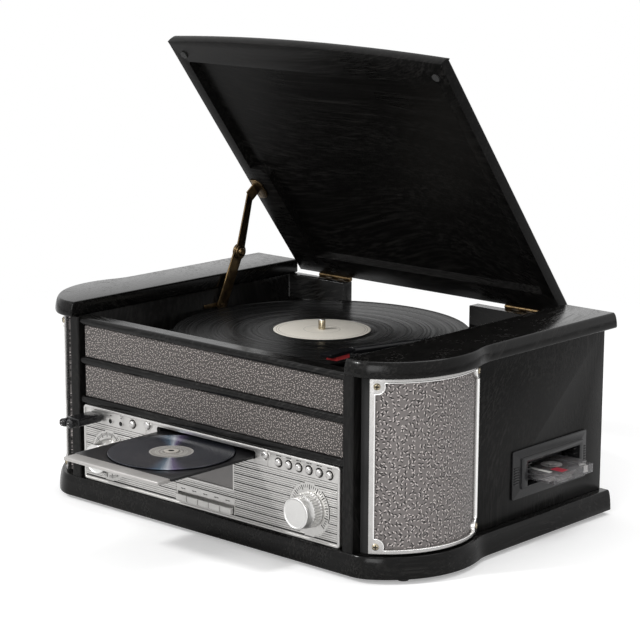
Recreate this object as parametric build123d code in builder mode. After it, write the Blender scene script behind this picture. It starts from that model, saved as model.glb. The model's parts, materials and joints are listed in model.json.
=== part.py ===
"""Stereo music centre: record player, CD tray, cassette slot, radio and USB player in a wooden cabinet.

Frame: origin on the table under the middle of the cabinet, X to the right, Y to the back, Z up, in mm.
Rest pose: lid open on its stay, CD tray out, cassette partly in, USB stick plugged in.
"""

import os
from math import acos, atan2, cos, degrees, radians, sin, sqrt

from build123d import *

# ---------------------------------------------------------------- clearances
GAP = 0.3               # between pieces that move past each other
RUN = 0.05              # radial, shaft in its bore
SLIDE = 0.4             # sides of a sliding piece in its guide
OVER = 1.0              # a cut runs this far past the face it opens
ROOM = 1.0              # around a fixed piece that only has to clear its neighbour

# ---------------------------------------------------------------- cabinet
FOOT_H = 4.1
FOOT_R = 5.5
FOOT_X = 223.0          # corner feet from the middle plane; a fifth stands at the origin
FOOT_FRONT_Y = -134.0
FOOT_REAR_Y = 136.0
BASE_T = 20.4
BASE_LIP = 4.0          # the base moulding spreads this far below its top edge
BODY_H = 166.0          # from the base to the underside of the top wings
WING_T = 15.0
WING_LIP = 5.0
SIDE_X = 240.4          # top edge of the straight sides
FRONT_Y = -166.0        # top edge of the straight front
REAR_Y = 164.0
CORNER_X = 191.0        # centre of the tight arc of the nose
CORNER_R = 30.0
NOSE_R = 91.0           # wide arc of the nose
NOSE_TURN = -57.0       # direction where the two arcs meet
BLEND_R = 60.0          # hollow arc back to the straight side
WELL_X = 181.3          # inner edge of the wings
BOARD_T = 15.0          # side panels
PANEL_X = 232.4         # outer face of the side panels
PANEL_REAR_IN = 3.0     # back panel inside the wings' back edge
BACK_T = 12.0
WALL_T = 6.0            # inner walls of the record well
PILLAR_X0 = 176.6
PILLAR_X1 = 189.1
PILLAR_ROUND = 1.5
BOARD_FRONT_Y = -158.0  # front board behind the rails
BOARD_REAR_Y = -147.0
RAIL_Y = -164.0
FASCIA_TOP_Z = 101.7    # faceplate below, rails and cloth above
RAIL_LOW_H = 8.4
RAIL_MID_H = 8.5
RAIL_TOP_H = 7.9
RAIL_ROUND = 3.6
CLOTH_SINK = 3.0        # cloth lies this far behind the rails
BACK_DROP = 25.5        # back panel under the record's rim, below the wings

# ---------------------------------------------------------------- speakers
FRAME_SINK = 3.0        # speaker frame behind the wing's top edge
FRAME_T = 4.0
GRILLE_T = 2.0
BAFFLE_T = 6.0
FRAME_LOW = 2.0         # frame above the base and below the wing
FRAME_BAR = 3.6         # along the top and bottom
FRAME_SIDE = 5.2        # at the two ends
FRAME_START = -63.0     # directions of the ends of the frame
FRAME_END = 31.5
LOBE_R = 7.8
LOBE_INSET = 6.6
SCREW_R = 3.2
SCREW_HEAD = 1.6
SHANK_R = 1.4
DRIVER_TURN = -14.0
WOOFER_R = 36.0
WOOFER_Z = 84.0
TWEETER_R = 17.0
TWEETER_Z = 152.0
MOUNT_T = 6.0           # flat board that carries the drivers
MOUNT_SINK = 21.0       # its outer face inside the nose
BAFFLE_START = -90.0    # direction where the curved baffle starts
DRIVER_EDGE = 3.0       # opening for a driver, smaller than its radius
DRIVER_RIM = 1.5
DRIVER_RIM_T = 2.0
CONE_DEPTH = 0.7        # shares of the driver's radius
CONE_NECK = 0.4
MAGNET_BACK = 0.35
MAGNET_R = 0.6
MOUNT_HALF = 38.0

# ---------------------------------------------------------------- faceplate and controls
PLATE_X = 172.3
PLATE_T = 4.0
PLATE_LOW = 0.4
PLATE_ROUND = 3.0
PCB_Y = -148.0          # front face of the control board
PCB_T = 1.6
PCB_X = 168.0
PCB_Z0 = 27.0
PCB_Z1 = 86.0
KNOB_X = 135.2
KNOB_Z = 55.2
KNOB_R = 15.0
KNOB_SKIRT_R = 17.0
KNOB_SKIRT_T = 5.0
KNOB_L = 19.5
SHAFT_R = 3.0
SHAFT_L = 12.0
POT_R = 9.0
BUTTON_R = 3.65
BUTTON_OUT = 3.0
BUTTON_ROUND = 2.4
BUTTON_HOLE = 0.25      # clearance around a button in the faceplate
BUTTON_Z = 92.2
BUTTON_NEXT = 16.6      # from an end button to the first of the row
BUTTON_PITCH = 12.7
BUTTON_COUNT = 6
END_BUTTON_R = 4.0
END_BUTTON_OFF = 14.1   # from the edge of the tray
END_BUTTON_Z = 96.3
POWER_X = -101.0
POWER_Z = 93.5
FLANGE = 1.0            # collar that keeps a button in its hole
PRESS = 1.5             # travel of buttons and keys
SWITCH_SIDE = 6.0
KEY_COUNT = 5
KEY_PITCH = 15.0
KEY_Z0 = 30.0
KEY_H = 6.5
KEY_OUT = 4.0
KEY_SLOT_TOP = 2.0      # dark slot over the keys
KEY_BANK_SIDE = 0.5
DISPLAY_X = 36.8
DISPLAY_Z0 = 54.0
DISPLAY_Z1 = 84.0
DISPLAY_T = 3.0
JACK_X = -125.2
JACK_PITCH = 15.1
JACK_Z = 90.8
JACK_R = 3.0
LED_X = -117.5
LED_Z = 99.0
LED_R = 1.2
JACK_WALL = 1.2
JACK_OUT = 0.6
KNOB_ROUND = 1.2
BUTTON_IN = 2.0         # a button reaches this far behind the faceplate
KEY_ROUND = 1.0

# ---------------------------------------------------------------- USB socket and stick
USB_X = -153.5
USB_Z = 92.5
USB_W = 12.0
USB_H = 4.5
USB_PLUG_L = 12.0
STICK_W = 19.0
STICK_H = 7.8
STICK_L = 42.0
USB_SHELL = 1.2
STICK_EDGE = 3.0
STICK_OFF = 0.6         # stick body stands off the faceplate

# ---------------------------------------------------------------- CD player
DISC_R = 60.0
DISC_T = 1.2
DISC_BORE = 7.5
DISC_X = 1.1
DISC_Y = -210.0         # centre when the tray is out
DISC_Z = 92.9           # underside
TRAY_W = 130.8
TRAY_Z0 = 90.2
TRAY_Z1 = 92.6
TRAY_POCKET = 1.2
POCKET_ROOM = 1.0
TRAY_REAR_L = 70.0      # tray behind the disc's centre
TRAY_BAR_IN = 2.1       # bar narrower than the tray, each way
TRAY_BAR_H = 3.4
TRAY_BAR_L = 16.0
TRAY_BAR_Y = -288.0     # front of the silver bar
BAR_ROUND = 1.2
HUB_SEAT_R = 16.0
HUB_UP = 1.0
SPIN_MOTOR_R = 14.0
SPIN_MOTOR_H = 12.0
SLOT_ROUND = 2.5
SLOT_Z0 = 89.5
SLOT_Z1 = 97.5
SLOT_SIDE = 1.1         # slot wider than the tray, each way
DRIVE_WALL = 3.0
DRIVE_L = 142.0
DRIVE_ROOM = 4.5        # room over the tray for the disc
DRIVE_LEG = 8.0

# ---------------------------------------------------------------- cassette
TAPE_L = 100.4
TAPE_W = 63.8
TAPE_T = 8.7
TAPE_HEAD_T = 12.0      # thicker strip along the tape edge
TAPE_HEAD_W = 14.0
TAPE_HEAD_IN = 8.0
TAPE_HUBS = 42.5
TAPE_HUB_R = 5.5
TAPE_HUB_OFF = 3.0
TAPE_Y = 80.0
TAPE_Z = 57.0
TAPE_OUT = 25.0         # how far it stands out of the side panel
TAPE_IN_TRAVEL = 20.0
BEZEL_Y0 = 13.0
BEZEL_Y1 = 132.0
BEZEL_Z0 = 44.0
BEZEL_Z1 = 92.0
BEZEL_ROUND = 2.0
SLEEVE_T = 1.2          # lining of the hole in the side panel
RIB_COUNT = 4
RIB_T = 1.2
RIB_CLEAR = 2.0
BEZEL_T = 2.0
BEZEL_RAISE = 2.0
BEZEL_RIM_Y0 = 25.0
BEZEL_RIM_Y1 = 125.0
BEZEL_RIM_Z0 = 53.0
BEZEL_RIM_Z1 = 84.0
TAPE_DOOR_Y0 = 33.0
TAPE_DOOR_Y1 = 120.0
TAPE_DOOR_Z0 = 54.0
TAPE_DOOR_Z1 = 80.0
MECH_WALL = 3.0

# ---------------------------------------------------------------- turntable
WELL_DEPTH = 33.5       # from the top of the side walls to the deck
DECK_T = 3.0
CLEAT = 6.0
DECK_ROOM = 2.6         # room under the platter
PLATTER_X = -18.5
PLATTER_Y = 22.8
PLATTER_R = 100.0
PLATTER_T = 4.0
PLATTER_UP = 11.7       # top of the platter over the deck
MAT_T = 1.5
MAT_IN = 4.0
DRIVE_RING_R = 70.0     # belt runs on this ring under the platter
DRIVE_RING_T = 4.0
RECORD_R = 151.0
RECORD_T = 1.9
LABEL_R = 50.0
LABEL_RAISE = 0.4
SPINDLE_R = 3.55
SPINDLE_UP = 10.6
HUB_R = 12.0
AXLE_R = 4.0
AXLE_DROP = 14.0
BEARING_WALL = 4.0
PULLEY_R = 6.0
PULLEY_GAP = 9.0        # between the drive ring and the pulley
PULLEY_TURN = -120.0    # direction from the platter's centre
PULLEY_SHAFT_R = 1.0
PULLEY_HOLE_R = 5.0     # hole in the deck for the motor's shaft
BELT_T = 0.8
BELT_H = 4.0
BELT_SIDE = 0.6         # the pulley is this much wider than the belt, each way
MOTOR_R = 16.0
MOTOR_H = 24.0

# ---------------------------------------------------------------- tonearm
ARM_X = 150.0
ARM_Y = 100.0
ARM_L = 190.0           # from the pivot to the stylus
STYLUS_OUT = 156.0      # stylus from the record's centre at rest
STYLUS_LIFT = 3.2       # stylus over the record at rest
ARM_UP = 26.0           # tilt axis over the deck
ARM_R = 3.0
ARM_TAIL_L = 34.0
HEAD_L = 40.0
HEAD_OVER = 22.0        # headshell past the stylus
HEAD_ROUND = 3.0
HEAD_W = 15.0
HEAD_T = 3.0
HEAD_TURN = 20.0
CART_W = 12.0
CART_L = 20.0
CART_H = 4.5
STYLUS_H = 2.2
STYLUS_W = 4.0
STYLUS_TIP = 0.8
COUNTER_R = 7.5
COUNTER_L = 18.0
POST_R = 17.0
POST_H = 12.0
YOKE_W = 22.0
YOKE_WALL = 3.0
YOKE_LOW = 6.0          # half height of the arm's pivot block plus room
ARM_BLOCK = 1.0         # pivot block thicker than the arm, each way
PIVOT_R = 1.5
SWIVEL_R = 4.0          # the tonearm's upright shaft
SWIVEL_L = 9.0
REST_R = 4.0
REST_DROP = 1.2         # the arm stands this far over its rest
REST_AT = 45.0         # arm rest from the pivot

# ---------------------------------------------------------------- lid and hinges
LID_OPEN = 52.6         # degrees from closed
LID_X = 178.0
LID_T = 13.5
LID_L = 331.0           # at the corners
LID_BOW = 7.0           # the front edge is this much longer in the middle
LID_LIP = 5.0
LID_SEAT = 1.5          # closed lid over the front board
LID_BACK_IN = 0.5       # its back edge inside the cabinet's
LID_SINK_X = 165.0
LID_SINK_BACK = 26.0
LID_SINK_FRONT = 305.0
LID_SINK = 9.5
LID_ROUND = 3.0
LID_SINK_ROUND = 4.0
BATTEN_X = 143.0
BATTEN_END = 155.0
BATTEN_CHAMFER = 8.0
BUMPER_R = 4.0
BUMPER_AT = 314.0
HINGE_BACK = 3.0        # hinge axis behind the lid's back edge
HINGE_X = 128.0
HINGE_L = 45.0
HINGE_LEAF = 9.0        # leaves on the back edges of block and lid
HINGE_LEAF_T = 0.55
HINGE_FINGERS = 5
HINGE_PIN_R = 1.0
KNUCKLE_R = 2.3
BLOCK_LEFT_X1 = -102.0
BLOCK_RIGHT_X0 = 71.0
BLOCK_T = 14.0

# ---------------------------------------------------------------- lid stay
STAY_FOOT_Y = 40.0
STAY_FOOT_DROP = 17.5   # below the top of the side walls
STAY_AT = 128.0         # lid pivot in front of the hinge axis
STAY_DROP = 9.0         # lid pivot under the rim
STAY_LOW_L = 60.0
STAY_HIGH_L = 63.0
STAY_LOW_W = 14.0
STAY_HIGH_W = 12.0
STAY_HEAD_W = 9.0       # upper link at the lid
STAY_T = 1.5
STAY_PIN_R = 1.8
STAY_KNEE_R = 8.5
STAY_BALL_R = 4.5       # rivet head on the knee
STAY_BALL_ROUND = 2.5
STAY_WASHER = 1.0
STAY_WALL_GAP = 1.5     # between the wall plate and the lower link
STAY_TAB = 24.0         # strip on the wall in front of the foot
STAY_TAB_W = 4.5
STAY_EAR_R = 5.0
STAY_PLATE_X1 = -160.0
STAY_PLATE_L = 26.0
STAY_PLATE_ROUND = 9.0

# ---------------------------------------------------------------- inside
MAIN_PCB_X0 = -150.0
MAIN_PCB_X1 = 110.0
MAIN_PCB_Y0 = -10.0
MAIN_PCB_Y1 = 110.0
STANDOFF_H = 6.0
STANDOFF_R = 3.0
TRAFO_L = 58.0
TRAFO_W = 46.0
TRAFO_H = 48.0
TRAFO_X = -180.0
TRAFO_Y = 60.0
CONNECTOR_X = -60.0
CONNECTOR_Z = 62.0
CONNECTOR_T = 1.5
CONNECTOR_L = 9.0
CONNECTOR_R = 4.0
CONNECTOR_PITCH = 18.0
CONNECTOR_PLATE_W = 60.0
CONNECTOR_PLATE_H = 40.0
INLET_X = 150.0
INLET_W = 24.0
INLET_H = 18.0

# ---------------------------------------------------------------- derived places
BASE_TOP = FOOT_H + BASE_T
WING_Z = BASE_TOP + BODY_H
DECK_TOP = WING_Z - WELL_DEPTH
PLATTER_TOP = DECK_TOP + PLATTER_UP
ARM_Z = DECK_TOP + ARM_UP
BACK_LOW_Z = WING_Z - BACK_DROP
LID_Z = WING_Z + LID_SEAT
LID_BACK_Y = REAR_Y - LID_BACK_IN
HINGE_Y = LID_BACK_Y + HINGE_BACK
PANEL_IN_X = PANEL_X - BOARD_T
PANEL_REAR_Y = REAR_Y - PANEL_REAR_IN
BACK_Y = PANEL_REAR_Y - BACK_T
PLATE_FRONT_Y = RAIL_Y
PLATE_BACK_Y = PLATE_FRONT_Y + PLATE_T
PLATE_Z0 = BASE_TOP + PLATE_LOW
RECORD_Z = PLATTER_TOP + MAT_T
RECORD_TOP = RECORD_Z + RECORD_T

os.makedirs("parts", exist_ok=True)


def save(part, node):
    part.label = node
    export_step(part, f"parts/{node}.step")


def polar(centre, radius, angle):
    return centre + Vector(cos(radians(angle)), sin(radians(angle))) * radius


def nose_centres():
    """Centres of the tight and the wide arc of the nose."""
    tight = Vector(CORNER_X, FRONT_Y + CORNER_R)
    return tight, polar(tight, CORNER_R - NOSE_R, NOSE_TURN)


def cabinet_edge(start_x):
    """Right half of the cabinet's top edge in plan, from the front to the back."""
    tight, wide = nose_centres()
    hollow_x = SIDE_X + BLEND_R
    hollow_y = wide.Y + sqrt((NOSE_R + BLEND_R) ** 2 - (hollow_x - wide.X) ** 2)
    hollow = Vector(hollow_x, hollow_y)
    meet = degrees(atan2(hollow.Y - wide.Y, hollow.X - wide.X))
    with BuildLine() as edge:
        front = Line((start_x, FRONT_Y), (tight.X, FRONT_Y))
        corner = ThreePointArc(
            front @ 1,
            polar(tight, CORNER_R, (NOSE_TURN - 90) / 2),
            polar(tight, CORNER_R, NOSE_TURN),
        )
        nose = ThreePointArc(
            corner @ 1,
            polar(wide, NOSE_R, (NOSE_TURN + meet) / 2),
            polar(wide, NOSE_R, meet),
        )
        blend = ThreePointArc(
            nose @ 1,
            polar(hollow, BLEND_R, meet / 2 + 180),
            hollow - Vector(BLEND_R, 0),
        )
        Line(blend @ 1, (SIDE_X, REAR_Y))
    return edge.wire()


def cabinet_plan(inner_x):
    """Right part of the cabinet's plan, from inner_x outwards."""
    edge = cabinet_edge(inner_x)
    with BuildSketch() as plan:
        with BuildLine():
            add(edge)
            Polyline(edge @ 1, (inner_x, REAR_Y), edge @ 0)
        make_face()
    return plan.sketch


def moulding(lip, height, at_x, low_z):
    """Quarter-ellipse that spreads from the top edge to a sharp lip at the bottom."""
    with BuildSketch(Plane.YZ.offset(at_x)) as profile:
        with BuildLine():
            curve = EllipticalCenterArc((FRONT_Y, low_z), lip, height, 90, arc_size=90)
            Polyline(curve @ 1, (FRONT_Y, low_z), curve @ 0)
        make_face()
    return profile.sketch


def nose_band(outer, inner, start, end):
    """Strip between two parallels of the nose's edge, given as distances inside it."""
    tight, wide = nose_centres()

    def side(depth):
        arcs = [(wide, NOSE_R - depth, max(start, NOSE_TURN), end)]
        if start < NOSE_TURN:
            arcs.insert(0, (tight, CORNER_R - depth, start, NOSE_TURN))
        with BuildLine() as line:
            for centre, radius, low, high in arcs:
                ThreePointArc(*(polar(centre, radius, turn) for turn in (low, (low + high) / 2, high)))
        return line.wire()

    front = side(outer)
    rear = side(inner)
    with BuildSketch() as band:
        with BuildLine():
            add(front)
            add(rear)
            Line(front @ 0, rear @ 0)
            Line(front @ 1, rear @ 1)
        make_face()
    return band.sketch


def nose_plane(angle, z, distance=0.0):
    """Plane facing outwards at one direction and height of the speaker front."""
    tight, wide = nose_centres()
    centre = tight if angle < NOSE_TURN else wide
    origin = polar(centre, distance, angle)
    out = Vector(cos(radians(angle)), sin(radians(angle)), 0)
    return Plane(origin=(origin.X, origin.Y, z), x_dir=(-out.Y, out.X, 0), z_dir=out)


def nose_reach(angle):
    """Distance of the cabinet's edge from the arc centre that nose_plane uses."""
    return CORNER_R if angle < NOSE_TURN else NOSE_R


def turn_after(length):
    """Direction that lies a length along the speaker frame's face from its front end."""
    near, far = CORNER_R - FRAME_SINK, NOSE_R - FRAME_SINK
    on_corner = radians(NOSE_TURN - FRAME_START) * near
    if length < on_corner:
        return FRAME_START + degrees(length / near)
    return NOSE_TURN + degrees((length - on_corner) / far)


def turn_before(length):
    """Direction that lies a length along the speaker frame's face from its rear end."""
    return FRAME_END - degrees(length / (NOSE_R - FRAME_SINK))


def facing(x, z, y):
    """Plane that faces the front at one point of the faceplate."""
    return Plane(origin=(x, y, z), x_dir=(1, 0, 0), z_dir=(0, -1, 0))


# ================================================================ cabinet
with BuildPart() as feet:
    with BuildSketch():
        Circle(FOOT_R)
        for foot_x in (-FOOT_X, FOOT_X):
            with Locations((foot_x, FOOT_FRONT_Y), (foot_x, FOOT_REAR_Y)):
                Circle(FOOT_R)
    extrude(amount=FOOT_H)
save(feet.part, "feet")

base_half = cabinet_plan(0)
base_moulding = moulding(BASE_LIP, BASE_T, 0, FOOT_H)
base_edge = cabinet_edge(0).moved(Location((0, 0, FOOT_H)))
with BuildPart() as base_plinth:
    with BuildSketch(Plane.XY.offset(FOOT_H)):
        add(base_half)
    extrude(amount=BASE_T)
    sweep(base_moulding, path=base_edge)
    mirror(about=Plane.YZ)
save(base_plinth.part, "base_plinth")

wing_plan = cabinet_plan(WELL_X)
wing_moulding = moulding(WING_LIP, WING_T, WELL_X, WING_Z)
wing_edge = cabinet_edge(WELL_X).moved(Location((0, 0, WING_Z)))
with BuildPart() as top_wings:
    with BuildSketch(Plane.XY.offset(WING_Z)):
        add(wing_plan)
    extrude(amount=WING_T)
    sweep(wing_moulding, path=wing_edge)
    mirror(about=Plane.YZ)
save(top_wings.part, "top_wings")


def boards(*corners, mode=Mode.ADD):
    """Square-edged boards, each given by two opposite corners, in the part that is being built."""
    for low, high in corners:
        size = Vector(*high) - Vector(*low)
        with Locations(Vector(*low)):
            Box(size.X, size.Y, size.Z, align=(Align.MIN, Align.MIN, Align.MIN), mode=mode)


def post(centre, low_z, radius, height, mode=Mode.ADD):
    """Upright cylinder in the part that is being built."""
    with Locations((centre.X, centre.Y, low_z)):
        Cylinder(radius, height, align=(Align.CENTER, Align.CENTER, Align.MIN), mode=mode)


# the nose's wide arc ends where it meets the side panel's outer face
nose_wide = nose_centres()[1]
PANEL_FRONT_Y = nose_wide.Y + (NOSE_R - FRAME_SINK) * sin(radians(FRAME_END))
with BuildPart() as side_panels:
    boards(((PANEL_IN_X, PANEL_FRONT_Y, BASE_TOP), (PANEL_X, PANEL_REAR_Y, WING_Z)))
    mirror(about=Plane.YZ)
    door = (PANEL_IN_X, TAPE_DOOR_Y0, TAPE_DOOR_Z0), (PANEL_X, TAPE_DOOR_Y1, TAPE_DOOR_Z1)
    boards(door, mode=Mode.SUBTRACT)
save(side_panels.part, "side_panels")

BLOCK_Y = REAR_Y - BLOCK_T
with BuildPart() as back_panel:
    boards(
        ((-WELL_X, BLOCK_Y, BACK_LOW_Z), (BLOCK_LEFT_X1, REAR_Y, WING_Z)),
        ((BLOCK_RIGHT_X0, BLOCK_Y, BACK_LOW_Z), (WELL_X, REAR_Y, WING_Z)),
        ((-PANEL_IN_X, BACK_Y, BASE_TOP), (PANEL_IN_X, PANEL_REAR_Y, BACK_LOW_Z)),
        ((-PANEL_IN_X, BACK_Y, BACK_LOW_Z), (-WELL_X, PANEL_REAR_Y, WING_Z)),
        ((WELL_X, BACK_Y, BACK_LOW_Z), (PANEL_IN_X, PANEL_REAR_Y, WING_Z)),
    )
save(back_panel.part, "back_panel")

DECK_Z = DECK_TOP - DECK_T
with BuildPart() as well_walls:
    boards(
        ((WELL_X, BOARD_REAR_Y, DECK_Z - CLEAT), (WELL_X + WALL_T, BACK_Y, WING_Z)),
        ((WELL_X - CLEAT, BOARD_REAR_Y, DECK_Z - CLEAT), (WELL_X, BACK_Y, DECK_Z)),
    )
    mirror(about=Plane.YZ)
save(well_walls.part, "well_walls")

CLOTH_H = (WING_Z - FASCIA_TOP_Z - RAIL_LOW_H - RAIL_MID_H - RAIL_TOP_H) / 2
RAIL_MID_Z = FASCIA_TOP_Z + RAIL_LOW_H + CLOTH_H
CLOTH_SPANS = (
    (FASCIA_TOP_Z + RAIL_LOW_H, RAIL_MID_Z),
    (RAIL_MID_Z + RAIL_MID_H, WING_Z - RAIL_TOP_H),
)
RAILS = (
    (FASCIA_TOP_Z, RAIL_LOW_H),
    (RAIL_MID_Z, RAIL_MID_H),
    (WING_Z - RAIL_TOP_H, RAIL_TOP_H),
)
with BuildPart() as front_panel:
    boards(
        ((-PILLAR_X0, BOARD_FRONT_Y, FASCIA_TOP_Z), (PILLAR_X0, BOARD_REAR_Y, WING_Z)),
        ((-PILLAR_X0, PLATE_BACK_Y, BASE_TOP), (-PLATE_X, BOARD_REAR_Y, FASCIA_TOP_Z)),
        ((PLATE_X, PLATE_BACK_Y, BASE_TOP), (PILLAR_X0, BOARD_REAR_Y, FASCIA_TOP_Z)),
    )
    for rail_z, rail_h in RAILS:
        with BuildSketch(Plane.YZ.offset(-PILLAR_X0)) as rail:
            with Locations((RAIL_Y, rail_z)):
                Rectangle(BOARD_FRONT_Y - RAIL_Y, rail_h, align=(Align.MIN, Align.MIN))
            fillet(rail.vertices().group_by(Axis.X)[0], RAIL_ROUND)
        extrude(amount=2 * PILLAR_X0)
save(front_panel.part, "front_panel")

with BuildPart() as pillars:
    for pillar_x in (-PILLAR_X1, PILLAR_X0):
        boards(((pillar_x, FRONT_Y, BASE_TOP), (pillar_x + PILLAR_X1 - PILLAR_X0, BOARD_REAR_Y, WING_Z)))
    front_edges = pillars.edges().filter_by(Axis.Z).group_by(Axis.Y)[0]
    fillet(front_edges, PILLAR_ROUND)
save(pillars.part, "pillars")

with BuildPart() as grille_strips:
    cloth_y = RAIL_Y + CLOTH_SINK
    for cloth_low, cloth_high in CLOTH_SPANS:
        boards(((-PLATE_X, cloth_y, cloth_low), (PLATE_X, BOARD_FRONT_Y, cloth_high)))
save(grille_strips.part, "grille_strips")

# ================================================================ speakers
GRILLE_SINK = FRAME_SINK + FRAME_T
BAFFLE_SINK = GRILLE_SINK + GRILLE_T
baffle_band = nose_band(BAFFLE_SINK, BAFFLE_SINK + BAFFLE_T, BAFFLE_START, FRAME_END)
grille_band = nose_band(GRILLE_SINK, BAFFLE_SINK, FRAME_START, FRAME_END)
frame_band = nose_band(FRAME_SINK, GRILLE_SINK, FRAME_START, FRAME_END)
window_band = nose_band(
    FRAME_SINK - OVER, GRILLE_SINK + OVER, turn_after(FRAME_SIDE), turn_before(FRAME_SIDE)
)
FRAME_Z0 = BASE_TOP + FRAME_LOW
FRAME_Z1 = WING_Z - FRAME_LOW
lobe_turns = (turn_after(LOBE_INSET), turn_before(LOBE_INSET))
lobe_heights = (FRAME_Z0 + LOBE_INSET, FRAME_Z1 - LOBE_INSET)
LOBE_PLACES = [(turn, z) for turn in lobe_turns for z in lobe_heights]
DRIVER_PLACES = ((WOOFER_Z, WOOFER_R), (TWEETER_Z, TWEETER_R))
MOUNT_IN = NOSE_R - MOUNT_SINK - MOUNT_T

with BuildPart() as speaker_baffles:
    with BuildSketch(Plane.XY.offset(BASE_TOP)):
        add(baffle_band)
    extrude(amount=BODY_H)
    with BuildSketch(nose_plane(DRIVER_TURN, BASE_TOP, MOUNT_IN)):
        Rectangle(2 * MOUNT_HALF, BODY_H, align=(Align.CENTER, Align.MIN))
    extrude(amount=MOUNT_T)
    for driver_z, driver_r in DRIVER_PLACES:
        with BuildSketch(nose_plane(DRIVER_TURN, driver_z, MOUNT_IN - OVER)):
            Circle(driver_r - DRIVER_EDGE)
        extrude(amount=NOSE_R - MOUNT_IN, mode=Mode.SUBTRACT)
    mirror(about=Plane.YZ)
save(speaker_baffles.part, "speaker_baffles")

with BuildPart() as speaker_frames:
    with BuildSketch(Plane.XY.offset(FRAME_Z0)):
        add(frame_band)
    band = extrude(amount=FRAME_Z1 - FRAME_Z0)
    with BuildSketch(Plane.XY.offset(FRAME_Z0 + FRAME_BAR)):
        add(window_band)
    extrude(amount=FRAME_Z1 - FRAME_Z0 - 2 * FRAME_BAR, mode=Mode.SUBTRACT)
    for turn, z in LOBE_PLACES:
        reach = nose_reach(turn)
        with BuildSketch(nose_plane(turn, z, reach - 2 * LOBE_R)):
            Circle(LOBE_R)
        lobe = extrude(amount=4 * LOBE_R, mode=Mode.PRIVATE)
        add(lobe & band)
    for turn, z in LOBE_PLACES:
        with BuildSketch(nose_plane(turn, z, nose_reach(turn) - 2 * LOBE_R)):
            Circle(SHANK_R)
        extrude(amount=4 * LOBE_R, mode=Mode.SUBTRACT)
    mirror(about=Plane.YZ)
save(speaker_frames.part, "speaker_frames")

with BuildPart() as speaker_grilles:
    with BuildSketch(Plane.XY.offset(FRAME_Z0)):
        add(grille_band)
    extrude(amount=FRAME_Z1 - FRAME_Z0)
    for turn, z in LOBE_PLACES:
        with BuildSketch(nose_plane(turn, z, nose_reach(turn) - 2 * LOBE_R)):
            Circle(SHANK_R)
        extrude(amount=4 * LOBE_R, mode=Mode.SUBTRACT)
    mirror(about=Plane.YZ)
save(speaker_grilles.part, "speaker_grilles")

with BuildPart() as frame_screws:
    for turn, z in LOBE_PLACES:
        face_at = nose_reach(turn) - FRAME_SINK
        with BuildSketch(nose_plane(turn, z, nose_reach(turn) - BAFFLE_SINK)):
            Circle(SHANK_R)
        extrude(amount=FRAME_T + GRILLE_T)
        with BuildSketch(nose_plane(turn, z, face_at)):
            Circle(SCREW_R)
        extrude(amount=SCREW_HEAD)
    mirror(about=Plane.YZ)
save(frame_screws.part, "frame_screws")

with BuildPart() as speaker_drivers:
    for driver_z, driver_r in DRIVER_PLACES:
        rim_at = MOUNT_IN - DRIVER_RIM_T
        neck_at = MOUNT_IN - driver_r * CONE_DEPTH
        with BuildSketch(nose_plane(DRIVER_TURN, driver_z, rim_at)):
            Circle(driver_r + DRIVER_RIM)
            Circle(driver_r - DRIVER_EDGE - DRIVER_RIM, mode=Mode.SUBTRACT)
        extrude(amount=DRIVER_RIM_T)
        with BuildSketch(nose_plane(DRIVER_TURN, driver_z, rim_at)):
            Circle(driver_r - DRIVER_EDGE)
        with BuildSketch(nose_plane(DRIVER_TURN, driver_z, neck_at)):
            Circle(driver_r * CONE_NECK)
        loft()
        with BuildSketch(nose_plane(DRIVER_TURN, driver_z, neck_at - driver_r * MAGNET_BACK)):
            Circle(driver_r * MAGNET_R)
        extrude(amount=driver_r * CONE_NECK)
    mirror(about=Plane.YZ)
save(speaker_drivers.part, "speaker_drivers")

# ================================================================ faceplate and what it carries
END_BUTTON_X = TRAY_W / 2 + END_BUTTON_OFF
KEY_BANK_X = KEY_COUNT * KEY_PITCH / 2 + KEY_BANK_SIDE
BUTTONS = {
    f"preset_button_{i + 1}": (END_BUTTON_X + BUTTON_NEXT + i * BUTTON_PITCH, BUTTON_Z, BUTTON_R)
    for i in range(BUTTON_COUNT)
}
BUTTONS["stop_button"] = (-END_BUTTON_X, END_BUTTON_Z, END_BUTTON_R)
BUTTONS["tray_button"] = (END_BUTTON_X, END_BUTTON_Z, END_BUTTON_R)
BUTTONS["power_button"] = (POWER_X, POWER_Z, BUTTON_R)
KEYS = {f"function_key_{i + 1}": (i - (KEY_COUNT - 1) / 2) * KEY_PITCH for i in range(KEY_COUNT)}
JACKS = [(JACK_X + side * JACK_PITCH / 2, JACK_Z) for side in (-1, 1)]
KNOBS = {"tuning_knob": -KNOB_X, "volume_knob": KNOB_X}
DRIVE_HALF = TRAY_W / 2 + SLIDE
DRIVE_Z0 = TRAY_Z0 - GAP
DRIVE_Z1 = TRAY_Z1 + DRIVE_ROOM

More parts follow.
